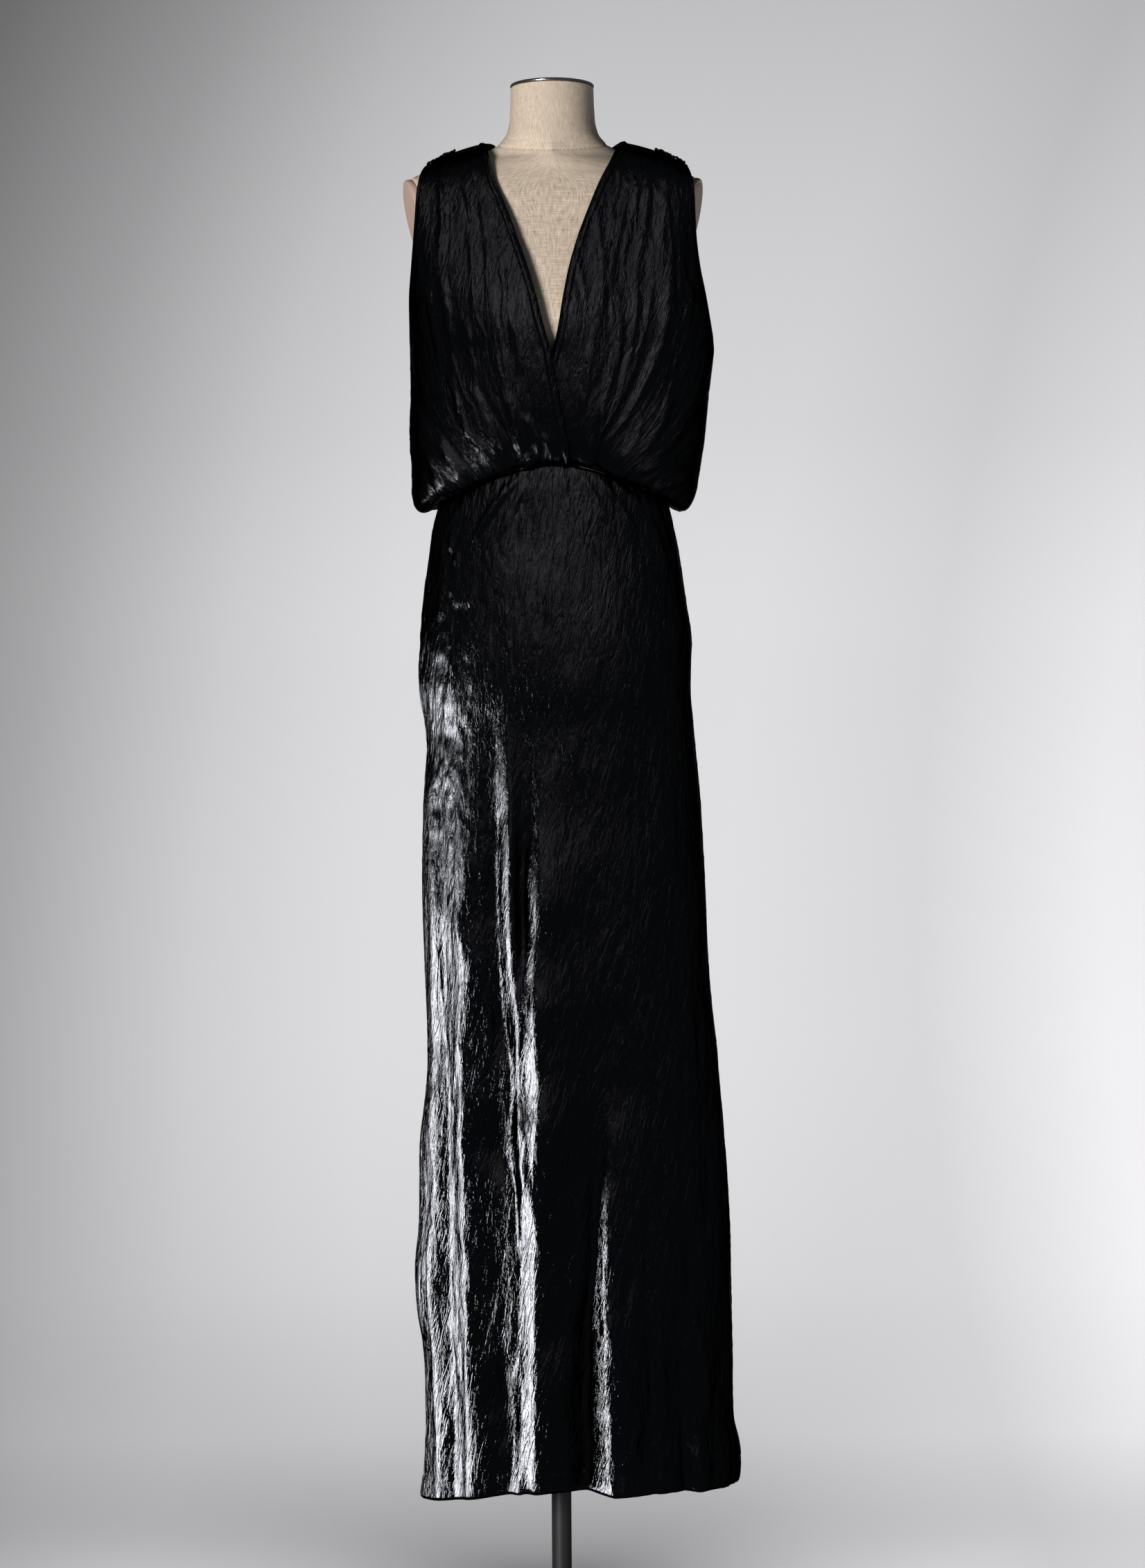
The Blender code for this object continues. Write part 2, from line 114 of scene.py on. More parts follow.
def feed(node, *values, **named):
    """Sets a node's inputs, in order or by name, to plain values or links them to outputs. Returns its
    output."""
    sockets = [*zip(node.inputs, values)]
    sockets += [(node.inputs[name.replace("_", " ")], value) for name, value in named.items()]
    for socket, value in sockets:
        if isinstance(value, bpy.types.NodeSocket):
            node.id_data.links.new(value, socket)
        else:
            socket.default_value = value
    return node.outputs[0]


def principled(name, color, roughness, metallic=0.0):
    """A material with a Principled shader. Returns the material, its nodes and the shader."""
    made = bpy.data.materials.new(name)
    made.use_nodes = True
    nodes = made.node_tree.nodes
    shader = nodes["Principled BSDF"]
    feed(shader, Base_Color=(*color, 1.0), Roughness=roughness, Metallic=metallic)
    return made, nodes, shader


def noise(nodes, source, scale, detail=2.0, distortion=0.0):
    """A noise texture over coordinates that are stretched by a number for each direction."""
    stretched = feed(nodes.new("ShaderNodeMapping"), Vector=source, Scale=scale)
    texture = nodes.new("ShaderNodeTexNoise")
    return feed(texture, Vector=stretched, Scale=1.0, Detail=detail, Distortion=distortion)


def remap(nodes, value, low, high, out_low, out_high):
    """Carries a value from one range to another, and stops at its ends."""
    return feed(nodes.new("ShaderNodeMapRange"), value, low, high, out_low, out_high)


def sum_of(nodes, first, second, operation="ADD"):
    """A value joined to another, or to a number, by a sum or another operation."""
    made = nodes.new("ShaderNodeMath")
    made.operation = operation
    return feed(made, first, second)


def object_coordinates(nodes):
    """The piece's own coordinates, in metres."""
    return nodes.new("ShaderNodeTexCoord").outputs["Object"]


def cloth_coordinates(nodes):
    """The distances across and along the cloth, in metres."""
    made = nodes.new("ShaderNodeUVMap")
    made.uv_map = "Cloth"
    return made.outputs["UV"]


def tones(nodes, value, stops):
    """A colour that runs through stops, each a place from 0 to 1 and a colour."""
    made = nodes.new("ShaderNodeValToRGB")
    marks = made.color_ramp.elements
    for number, (place, color) in enumerate(stops):
        mark = marks[number] if number < 2 else marks.new(place)
        mark.position = place
        mark.color = (*color, 1.0)
    return feed(made, value)


def mixed(nodes, first, second, factor=1.0, blend="MIX"):
    """Two colours mixed by a factor. The second may be plain."""
    made = nodes.new("ShaderNodeMix")
    made.data_type = "RGBA"
    made.blend_type = blend
    feed(made, A=first, B=(*second, 1.0) if isinstance(second, tuple) else second, Factor=factor)
    return made.outputs["Result"]


def bump(nodes, height, distance, **before):
    """Relief from a height between 0 and 1, in metres, laid on another relief where a Normal is given."""
    return feed(nodes.new("ShaderNodeBump"), Strength=1.0, Distance=distance, Height=height, **before)


black_paint, nodes, shader = principled("black_paint", (0.020, 0.020, 0.022), 0.42)
speckle = noise(nodes, object_coordinates(nodes), (900.0, 900.0, 900.0))
feed(shader, Roughness=remap(nodes, speckle, 0.3, 0.7, 0.34, 0.50))
feed(shader, Normal=bump(nodes, speckle, 0.00005))

disc_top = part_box("base_disc")[1]
disc_edge = 0.002
base = turned("stand_disc", [
    (0.0, 0.0), (disc_top.x - disc_edge, 0.0), (disc_top.x - 0.3 * disc_edge, 0.3 * disc_edge),
    (disc_top.x, disc_edge), (disc_top.x, disc_top.z - disc_edge),
    (disc_top.x - 0.3 * disc_edge, disc_top.z - 0.3 * disc_edge), (disc_top.x - disc_edge, disc_top.z),
    (0.0, disc_top.z)], black_paint, 160)
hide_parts("base_disc")

socket_low, socket_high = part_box("base_socket")
climb = np.linspace(0.0, 1.0, 24)
socket_radius = socket_high.x * (0.56 + 0.44 * (1.0 - climb) ** 4)
socket_z = socket_low.z + 0.001 + (socket_high.z - socket_low.z - 0.002) * climb
socket_side = np.stack([socket_radius, socket_z], -1)
socket = turned("stand_socket", [
    (0.0, socket_low.z), (socket_high.x, socket_low.z), *socket_side,
    (socket_radius[-1] * 0.94, socket_high.z), (0.0, socket_high.z)], black_paint)
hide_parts("base_socket")

pole_low, pole_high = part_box("pole")
pole = turned("stand_pole", [(0.0, pole_low.z), (pole_high.x, pole_low.z), (pole_high.x, pole_high.z),
                             (0.0, pole_high.z)], black_paint)
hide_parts("pole")
for piece in (base, socket, pole):
    piece.data.set_sharp_from_angle(angle=math.radians(40))


# ---------------------------------------------------------------- form body
# A moulded torso with its neck, covered in natural linen. The linen is pulled tight and sewn on round the
# foot of the neck, with a second, fainter line above the first.

def table(columns, rows, plain=""):
    """The named columns of a short table, each as an array. The lengths in it are in millimetres and come
    out in metres; the plain column isn't a length."""
    values = dict(zip(columns.split(), np.array(rows, dtype=float).T))
    return {name: value if name == plain else value / 1000.0 for name, value in values.items()}


def curve_through(knots, values, at):
    """A smooth curve through a table's values: a cubic piece between each two, whose slope at each knot is
    the mean of its neighbours' chords."""
    slopes = np.gradient(values, knots)
    low = np.clip(np.searchsorted(knots, at, side="right") - 1, 0, len(knots) - 2)
    span = knots[low + 1] - knots[low]
    part = (at - knots[low]) / span
    rest = 1.0 - part
    return (values[low] * (1.0 + 2.0 * part) * rest ** 2 + values[low + 1] * (3.0 - 2.0 * part) * part ** 2
            + slopes[low] * span * part * rest ** 2 - slopes[low + 1] * span * part ** 2 * rest)


def signed_power(value, exponent):
    """A power that keeps the value's sign."""
    return np.sign(value) * np.abs(value) ** exponent


def ease(value):
    """A ramp from 0 to 1 that starts and ends level."""
    value = np.clip(value, 0.0, 1.0)
    return value * value * (3.0 - 2.0 * value)


def normals_of(points):
    """Unit normals of a grid: the step across crossed with the step along."""
    normals = np.cross(np.gradient(points, axis=1), np.gradient(points, axis=0))
    return normals / np.maximum(np.linalg.norm(normals, axis=2, keepdims=True), 1e-12)


FORM = table("z width front back round", [
    (1170, 150, 98, 104, 2.2), (1180, 160, 108, 114, 2.2), (1205, 165.5, 112.5, 119, 2.2),
    (1260, 167, 114, 120, 2.2), (1330, 160.5, 110, 112, 2.2), (1400, 144, 101, 98, 2.1),
    (1460, 126.5, 94, 86, 2.1), (1500, 121, 91, 82, 2.1), (1545, 126.5, 96, 86, 2.1),
    (1600, 140.5, 111, 94, 2.1), (1655, 151.5, 123, 98, 2.2), (1705, 154, 118, 99, 2.3),
    (1745, 148, 106, 96.5, 2.4), (1775, 160, 95, 93, 2.6), (1805, 174, 83, 83.5, 2.8),
    (1842, 183, 70, 76, 3), (1862, 188, 61, 67.5, 2.4), (1873, 174, 57, 63, 1.8),
    (1881, 153, 56, 61.5, 1.5), (1888, 132, 55.5, 62, 1.3), (1893, 115, 55, 61, 1.2),
    (1903, 86, 55, 59, 1.3), (1911, 70.5, 55, 58, 1.6), (1920, 61.5, 54.5, 56.5, 1.9),
    (1933, 56, 53.5, 55, 2), (1955, 53.5, 53, 53.5, 2), (1983.5, 52.5, 52.5, 52.5, 2),
], "round")
NECK_SEAM_SIDE = 1.912       # height of the neck seam at the sides
NECK_SEAM_FRONT = 1.8965     # and at the front, where it dips
UPPER_SEAM_RISE = 0.010      # the fainter line stands this far above it
PLATE_LEAN = math.radians(14.0)          # the end plates' tops stand out
PLATE_TURN = math.radians(15.0)          # and their faces are turned a little to the front
PLATE_THICKNESS = 0.009
PLATE_RADII = (0.037, 0.055)             # half of its depth and of its height
BESIDE_PLATE = 0.068                     # the armhole is flat this far above and below the plate's centre
FORM_FOOT = 1.170
FORM_SIDE = 1.185                        # top of the rounded lower edge
SHOULDER_Z = 1.84                        # the grid is finer above it
NECK_TOP = 1.9835
plate_low, plate_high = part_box("arm_plate_left")
plate_centre = (plate_low + plate_high) / 2.0


def form_points(heights, turn):
    """The torso: at each height an oval of the table's width, depths and roundness, its x a power of the
    cosine and its y of the sine, cut flat where the end plates are fixed."""
    value = {name: curve_through(FORM["z"], FORM[name], heights) for name in FORM}
    exponent = 2.0 / value["round"]
    x = value["width"] * signed_power(np.cos(turn), exponent)
    y = np.where(np.sin(turn) > 0.0, value["back"], value["front"]) * signed_power(np.sin(turn), exponent)
    z = heights + 0.0 * turn
    above_plate = z - plate_centre.z
    limit = plate_centre.x + (math.sin(PLATE_LEAN) * above_plate - PLATE_THICKNESS / 2.0
                              + math.cos(PLATE_LEAN) * math.sin(PLATE_TURN) * y) / (
                                  math.cos(PLATE_LEAN) * math.cos(PLATE_TURN))
    x = np.where(np.abs(above_plate) < BESIDE_PLATE, np.clip(x, -limit, limit), x)
    return np.stack([x, y, z], axis=-1)


def neck_seam(turn):
    """The neck seam's height and how far a place lies to the front, from 0 to 1."""
    ahead = np.clip(-np.sin(turn), 0.0, 1.0) ** 1.5
    return NECK_SEAM_SIDE + (NECK_SEAM_FRONT - NECK_SEAM_SIDE) * ahead, ahead


turn = np.linspace(0.0, math.tau, 181)[None, :]
heights = np.concatenate([
    np.linspace(FORM_FOOT, FORM_SIDE, 8)[:-1], np.linspace(FORM_SIDE, SHOULDER_Z, 70)[:-1],
    np.linspace(SHOULDER_Z, NECK_TOP, 120)])[:, None]
body = form_points(heights, turn)
seam_height, ahead = neck_seam(turn)
above_seam = body[..., 2] - seam_height
groove = np.exp(-(above_seam / 0.0012) ** 2)
upper_groove = np.exp(-((above_seam - UPPER_SEAM_RISE) / 0.0010) ** 2) * ahead
swell = np.exp(-((above_seam - 0.004) / 0.004) ** 2)
body = body + normals_of(body) * (0.0005 * swell - 0.0011 * groove - 0.0006 * upper_groove)[..., None]
around = turn * 0.14 + 0.0 * heights
climbed = np.concatenate([0.0 * turn, np.cumsum(np.linalg.norm(np.diff(body, axis=0), axis=2), axis=0)])
uv = np.stack([np.concatenate([around[:1], around, around[-1:]]),
               np.concatenate([climbed[:1] - 0.1, climbed, climbed[-1:] + 0.05])], axis=-1)
to_axis = np.array([0.0, 0.0, 1.0])
body = np.concatenate([body[:1] * to_axis, body, body[-1:] * to_axis])

linen, nodes, shader = principled("linen", (0.50, 0.42, 0.32), 0.85)
cloth_map = cloth_coordinates(nodes)
threads = sum_of(nodes, noise(nodes, cloth_map, (1000.0, 70.0, 1.0)),
                 noise(nodes, cloth_map, (70.0, 1000.0, 1.0)))
tone = tones(nodes, remap(nodes, threads, 0.75, 1.25, 0.0, 1.0), (
    (0.0, (0.40, 0.325, 0.255)), (1.0, (0.72, 0.62, 0.51))))
flecks = noise(nodes, cloth_map, (420.0, 420.0, 1.0), 3.0)
gold = mixed(nodes, tone, (0.78, 0.66, 0.47), remap(nodes, flecks, 0.60, 0.70, 0.0, 0.55))
feed(shader, Base_Color=gold)
feed(shader, Normal=bump(nodes, threads, 0.00025))
torso = closed_surface("form_linen", body, uv, linen)
torso.data.set_sharp_from_angle(angle=math.radians(60))
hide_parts("form_body")


# ---------------------------------------------------------------- neck seam stitches
# Linen thread drawn through the groove by hand: short stitches that lie along the seam, not quite even.

def capsules(name, centres, along, out, lengths, radius, finish):
    """Short round threads: six rings about each axis, with an ellipse's radii, merged to a point at the
    ends."""
    rings = np.linspace(-1.0, 1.0, 6)
    turn = np.linspace(0.0, math.tau, 7)
    side = np.cross(along, out)
    profile = np.sqrt(np.clip(1.0 - rings ** 2, 0.0, 1.0)) * radius
    axes = along[:, None, None] * (rings[None, :, None] * lengths[:, None, None] / 2.0)[..., None]
    around = (out[:, None, None] * np.cos(turn)[None, None, :, None]
              + side[:, None, None] * np.sin(turn)[None, None, :, None])
    points = centres[:, None, None] + axes + around * profile[None, :, None, None]
    count, rows, columns = points.shape[:3]
    index = np.arange(count * rows * columns).reshape(count, rows, columns)
    quads = np.stack([index[:, :-1, :-1], index[:, :-1, 1:], index[:, 1:, 1:], index[:, 1:, :-1]], axis=-1)
    mesh = bpy.data.meshes.new(name)
    mesh.from_pydata(points.reshape(-1, 3), [], quads.reshape(-1, 4))
    return merged(placed(name, mesh, finish), 0.00001)


STITCH_COUNT = 96
STITCH_DEPTH = 0.0007        # how far a stitch's middle lies inside the linen
STITCH_RADIUS = 0.0005
rng = np.random.default_rng(3)
turn = np.linspace(0.0, math.tau, STITCH_COUNT, endpoint=False)
turn = turn + rng.uniform(-0.006, 0.006, STITCH_COUNT)
height = neck_seam(turn)[0]
centres = form_points(height, turn)
turn_ahead = turn + 0.01
along = form_points(neck_seam(turn_ahead)[0], turn_ahead) - centres
along /= np.linalg.norm(along, axis=1, keepdims=True)
out = np.cross(along, form_points(height + 0.001, turn) - centres)
out /= np.linalg.norm(out, axis=1, keepdims=True)
thread, nodes, shader = principled("thread", (0.30, 0.235, 0.17), 0.80)
twist = noise(nodes, object_coordinates(nodes), (2500.0, 2500.0, 2500.0))
feed(shader, Normal=bump(nodes, twist, 0.0001))
stitches = capsules("neck_stitches", centres - out * STITCH_DEPTH, along, out,
                    rng.uniform(0.0019, 0.0027, STITCH_COUNT), STITCH_RADIUS, thread)


# ---------------------------------------------------------------- neck cap
# A spun steel lid, chromed, with a rolled rim, pressed on to the top of the neck.

cap_low, cap_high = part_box("neck_cap")
cap_radius = cap_high.x
roll = np.linspace(-0.5 * math.pi, 0.5 * math.pi, 14)
rim = np.stack([cap_radius - 0.0022 + 0.0022 * np.cos(roll), cap_low.z + 0.0023 + 0.0022 * np.sin(roll)], -1)
inward = np.linspace(0.0, 1.0, 20)[1:]
dome_start = cap_radius - 0.0045
dome = np.stack([dome_start * (1.0 - inward),
                 cap_low.z + 0.0036 + (cap_high.z - cap_low.z - 0.0036) * (1.0 - (1.0 - inward) ** 2)], -1)
chrome, nodes, shader = principled("chrome", (0.72, 0.71, 0.69), 0.14, 1.0)
brushed = noise(nodes, object_coordinates(nodes), (500.0, 500.0, 3000.0), 3.0)
feed(shader, Roughness=remap(nodes, brushed, 0.3, 0.7, 0.09, 0.24))
feed(shader, Normal=bump(nodes, brushed, 0.00003))
cap = turned("cap_chrome", [(0.0, cap_low.z), (cap_radius - 0.003, cap_low.z), *rim,
                            (dome_start, cap_low.z + 0.0036), *dome], chrome, 128)
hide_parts("neck_cap")


# ---------------------------------------------------------------- arm plates
# Oval boards that close the armholes, covered in a smooth pinkish cloth with a stitched line just inside
# the rim.

plate_cloth, nodes, shader = principled("plate_cloth", (0.44, 0.325, 0.275), 0.62)
fine_threads = noise(nodes, object_coordinates(nodes), (700.0, 1600.0, 1600.0), 3.0)
tone = tones(nodes, fine_threads, ((0.0, (0.36, 0.255, 0.215)), (1.0, (0.54, 0.415, 0.35))))
feed(shader, Base_Color=tone)
feed(shader, Normal=bump(nodes, fine_threads, 0.0001))

PLATE_PROFILE = table("share out", [
    (0, -4.5), (0.9, -4.5), (0.96, -4.1), (0.99, -3), (1, -1.5), (1, 1.5), (0.993, 2.8), (0.975, 3.8),
    (0.95, 4.2), (0.925, 4.1), (0.905, 3.3), (0.89, 3.4), (0.87, 4.3), (0.8, 4.5), (0.5, 4.5), (0, 4.5),
], "share")
share = PLATE_PROFILE["share"][:, None]
turn = np.linspace(0.0, math.tau, 121)[None, :]
for side, node in ((1.0, "arm_plate_left"), (-1.0, "arm_plate_right")):
    low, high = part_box(node)
    centre = np.array((low + high) / 2.0)
    axis = np.array([side * math.cos(PLATE_LEAN) * math.cos(PLATE_TURN),
                     -math.cos(PLATE_LEAN) * math.sin(PLATE_TURN), -math.sin(PLATE_LEAN)])
    first = np.array([side * math.sin(PLATE_TURN), math.cos(PLATE_TURN), 0.0]) * side
    second = np.cross(axis, first)
    points = (centre + axis * PLATE_PROFILE["out"][:, None, None]
              + first * (share * PLATE_RADII[0] * np.cos(turn))[..., None]
              + second * (share * PLATE_RADII[1] * np.sin(turn))[..., None])
    uv = np.stack([share * np.cos(turn), share * np.sin(turn)], axis=-1) * 0.05
    plate = closed_surface(node + "_board", points, uv, plate_cloth)
    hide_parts(node)


# ---------------------------------------------------------------- skirt
# Two long panels of crushed velvet, sewn to each other at the sides and to the bodice at the waist, with a
# machine-stitched hem. The pile is pressed flat, so it mirrors the light where a fold faces it.

SKIRT = table("mid left_drop right_drop left right front back", [
    (1498.6, 45.9, 45.9, 148, 145, 106.5, 100), (1472, 44.4, 44.4, 154.4, 150.4, 110, 105),
    (1427, 34.6, 34.6, 159.5, 157.4, 114, 111), (1381, 23.8, 23.8, 164.5, 162.5, 117.5, 117),
    (1335, 13, 13, 168.5, 167.5, 121, 122.5), (1290, 3.2, 3.2, 171.6, 172.6, 123.5, 126.5),
    (1251.6, 0, 0, 172.6, 171.6, 124.5, 128.5), (1216.4, 0, 0, 172.6, 170.5, 124.5, 128.5),
    (1181.2, 0, 0, 166.8, 173.6, 122.5, 126), (1146, 0, 0, 164.5, 176.6, 122, 125),
    (1075.6, 0, 0, 169.5, 182.7, 123, 125), (970, 0, 0, 171.6, 187.7, 125, 126),
    (864.4, 0, 0, 169, 191.8, 127, 128), (758.8, 0, 0, 165.5, 200.8, 129, 130),
    (653.2, 0, 0, 175, 209.5, 131, 132), (547.6, 0, 0, 178.6, 216, 133, 134.5),
    (477.2, 0, 0, 184, 217, 134.5, 136), (380, 0, 0, 173.5, 218.5, 136, 137.5),
    (301.2, 0, 0, 171.6, 219, 137.5, 139), (262, 20, 6, 172, 227.5, 139, 140),
    (229.7, 27.1, 11.2, 178, 226, 140, 141),
])
ROUNDNESS = 2.3              # exponent of the level sections: 2 is an ellipse
SEAM_GAP = 0.0002            # each panel stops this far from the seam's plane
CLOTH_WALL = 0.0011
HEM_BAND = 0.027
VALLEY = 0.3                 # depth of the dip on a fold's left, as a share of the crest's height

# Folds of the skirt: the height where each starts, the place of its crest at that height, half way down and
# at its end, the width of its left face at the same three heights, how steep that face is, negative for a
# valley, how far its right side takes to fall away, and the height where it ends.
FRONT_FOLDS = table("top x_top x_mid x_end w_top w_mid w_end steep fall end", [
    (1240, -150, -144, -136, 10, 20, 19, -0.48, 16, 180),
    (1220, -124, -117, -112, 8, 16, 12, 0.4, 18, 180),
    (1260, -84, -77, -74, 20, 34, 30, -0.24, 14, 180),
    (1260, -61, -53, -46, 12, 18, 6, 0.95, 9, 560),
    (1200, -24, -26, -32, 6, 30, 16, 0.98, 46, 180),
    (460, -46, -48, -50, 4, 10, 12, 0.9, 7, 180),
    (800, 68, 56, 64, 3, 16, 26, 1.45, 50, 180),
    (500, 150, 160, 168, 6, 10, 10, 1, 30, 180),
    (660, 112, 115, 120, 4, 7, 6, 0.9, 18, 240),
], "steep")
BACK_FOLDS = table("top x_top x_mid x_end w_top w_mid w_end steep fall end", [
    (1140, 128, 134, 146, 10, 18, 18, 0.8, 16, 180),
    (1260, 62, 70, 76, 12, 28, 30, 0.8, 26, 180),
    (1300, 0, -4, -10, 10, 22, 24, 0.8, 32, 180),
    (1220, -55, -60, -68, 12, 24, 26, 0.85, 40, 180),
    (1060, -112, -118, -128, 10, 16, 18, 0.8, 24, 180),
    (600, 34, 34, 30, 6, 10, 10, 0.7, 12, 180),
], "steep")

# Creases: where each starts and ends, across and in height, how far its middle bows to the right, its
# width, and how far it stands out, or in where that is negative.
CREASE = "x z x_end z_end bow width depth"
FRONT_CREASES = table(CREASE, [
    (-34, 1491, -114, 1383, -4, 4.5, 2.6), (-52, 1477, -98, 1410, -3, 4, 2.2),
    (-42, 1478, -85, 1410, -3, 3.5, -1.5), (-31, 1480, -69, 1405, -2, 4, 2.2),
    (-22, 1480, -44, 1401, -2, 3.5, 1.8), (-10, 1480, -27, 1392, -1, 3.5, 1.6),
    (-120, 1448, -134, 1418, 0, 3, 2), (-126, 1424, -132, 1390, 0, 3, 2),
    (-121, 1392, -125, 1360, 0, 3, 1.6), (-140, 1400, -146, 1300, 2, 5, 1.8),
    (46, 1489, 104, 1406, 4, 4.5, 2.4), (79, 1475, 108, 1440, 2, 4, 2),
    (30, 1490, 66, 1420, 3, 4, 1.8), (10, 1490, 22, 1430, 0, 3.5, 1.4),
    (112, 1440, 140, 1360, 4, 5, 2), (12, 1418, 9, 1315, 0, 4, 1),
    (-12, 1356, -7, 1301, 0, 4, 1), (-137, 1330, -128, 1190, 3, 6, 2),
    (-118, 1290, -140, 1160, -3, 5, 1.6), (-66, 1330, -60, 1230, 2, 6, 1.6),
    (78, 330, 50, 460, 4, 6, 3), (70, 250, 94, 330, 3, 5, 3),
    (92, 245, 70, 320, 3, 5, 2.4), (84, 420, 100, 530, 3, 6, 2),
    (182, 300, 170, 440, 3, 6, 2.4), (128, 300, 112, 430, 4, 7, 2.2),
    (-126, 330, -146, 450, 4, 5, 2.4), (-104, 470, -124, 560, 3, 5, 2.2),
    (-52, 330, -30, 420, 3, 5, 2.2), (-30, 560, -52, 650, 3, 5, 2.2),
    (-140, 690, -120, 800, 2, 5, 2), (-52, 760, -36, 860, 2, 5, 2),
    (-112, 870, -132, 960, 2, 5, 2),
])
BACK_CREASES = table(CREASE, [
    (40, 1492, 100, 1400, 3, 4.5, 2.4), (66, 1482, 120, 1410, 2, 4, 2),
    (20, 1495, 50, 1420, 2, 4, 1.8), (-10, 1495, -22, 1410, 0, 4, 1.6),
    (-36, 1492, -76, 1400, -3, 4.5, 2.2), (-70, 1480, -112, 1420, -2, 4, 2),
    (130, 1330, 120, 1200, 3, 6, 1.8), (-60, 1270, -40, 1150, 2, 6, 1.6),
    (30, 900, 50, 780, 3, 6, 1.8), (-110, 640, -90, 520, 3, 6, 2),
    (100, 420, 124, 310, 3, 6, 2.4), (-30, 400, -52, 280, 3, 6, 2.4),
    (150, 520, 136, 400, 3, 6, 2),
])


def crush(across, along, pitch, run, seed):
    """Random swells from -1 to 1: numbers drawn on a lattice of pitch by run metres, eased between its
    points."""
    drawn = np.random.default_rng(seed).uniform(-1.0, 1.0, (256, 256))
    column = across / pitch + 97.3
    row = along / run + 61.7
    left = np.floor(column).astype(int)
    low = np.floor(row).astype(int)
    to_right = ease(column - left)
    to_top = ease(row - low)
    bottom = drawn[low % 256, left % 256] * (1.0 - to_right) + drawn[low % 256, (left + 1) % 256] * to_right
    top = (drawn[(low + 1) % 256, left % 256] * (1.0 - to_right)
           + drawn[(low + 1) % 256, (left + 1) % 256] * to_right)
    return bottom * (1.0 - to_top) + top * to_top


def crumple(across, along, pitch, run, seed):
    """Crushed cloth: sharp ridges where the swells change sign, their lines bent by slower swells, from 0
    to 1."""
    bent = across + pitch * 1.1 * crush(across, along, pitch * 2.7, run * 0.55, seed + 1)
    return 1.0 - np.abs(crush(bent, along, pitch, run, seed)) * 2.0 ** 0.5


def creases(across, height, rows):
    """The sum of a table's creases: a bell across each line, which fades in and out over a fifth of its
    length."""
    total = np.zeros_like(across)
    for x, z, x_end, z_end, bow, width, depth in zip(*rows.values()):
        length = math.hypot(x_end - x, z_end - z)
        right, up = (x_end - x) / length, (z_end - z) / length
        part = ((across - x) * right + (height - z) * up) / length
        inside = np.clip(part, 0.0, 1.0)
        offset = (across - x) * up - (height - z) * right
        offset = offset * np.sign(up) - bow * 4.0 * inside * (1.0 - inside)
        total += depth * np.exp(-(offset / width) ** 2) * ease(part * 4.0) * ease((1.0 - part) * 4.0)
    return total


def oval(places):
    """The depth of an oval level section at places across, from -1 to 1, as a share of its largest."""
    return (1.0 - np.abs(places) ** ROUNDNESS) ** (1.0 / ROUNDNESS)


# distance round a level section of unit half-width, by place across
oval_places = np.linspace(-1.0, 1.0, 2001)
oval_depths = 0.72 * oval(oval_places)
oval_reach = np.concatenate([[0.0], np.cumsum(np.hypot(np.diff(oval_places), np.diff(oval_depths)))])
oval_reach -= oval_reach[1000]


def along_three(part, first, middle, last):
    """The curve through three values, at 0, a half and 1."""
    return (first * (1.0 - part) * (1.0 - 2.0 * part) + 4.0 * middle * part * (1.0 - part)
            + last * part * (2.0 * part - 1.0))


def folds(places, half, height, across, rows):
    """The sum of a table's folds. From a valley the left face climbs to the crest at a steady slope, and
    the right side falls away as a bell. The crest wanders down the cloth and the face's width swings about
    its own."""
    total = np.zeros_like(height)
    for number, row in enumerate(zip(*rows.values())):
        top, x_top, x_mid, x_end, w_top, w_mid, w_end, steep, fall, end = row
        fallen = np.clip((top - height) / (top - end), 0.0, 1.0)
        crest = along_three(fallen, x_top, x_mid, x_end)
        crest = crest + 0.0025 * crush(0.0 * height, height, 1.0, 0.085, 40 + number)
        crest = np.clip(crest / half, -0.94, 0.94)
        offset = across - half * np.interp(crest, oval_places, oval_reach)
        swing = 1.0 + 0.42 * crush(0.0 * height, height, 1.0, 0.08, 60 + number)
        width = along_three(fallen, w_top, w_mid, w_end) * swing
        climbed = np.clip(1.0 + offset / width, 0.0, 1.0)
        left = ((1.0 + VALLEY) * (0.8 * climbed + 0.2 * ease(climbed))
                - VALLEY * ease(1.0 + (offset + width) / (1.2 * width)))
        bell = np.where(offset < 0.0, left, np.exp(-(offset / fall) ** 2))
        faded = ease((top - height) / 0.30) * ease((height - end) / 0.05 + 1.0)
        total += steep * width / (1.0 + VALLEY) * bell * faded
    return total


velvet, nodes, shader = principled("velvet", (0.050, 0.050, 0.053), 0.22, 1.0)
feed(shader, Specular_Tint=(0.10, 0.10, 0.10, 1.0))
cloth_map = cloth_coordinates(nodes)


def cracks(nodes, source, scale, half_width, detail, distortion):
    """Narrow grooves between flat plateaus: they lie where a noise crosses its middle value."""
    swell = noise(nodes, source, scale, detail, distortion)
    swell = sum_of(nodes, swell, 0.5, "SUBTRACT")
    return remap(nodes, sum_of(nodes, swell, 0.0, "ABSOLUTE"), 0.0, half_width, 0.0, 1.0)


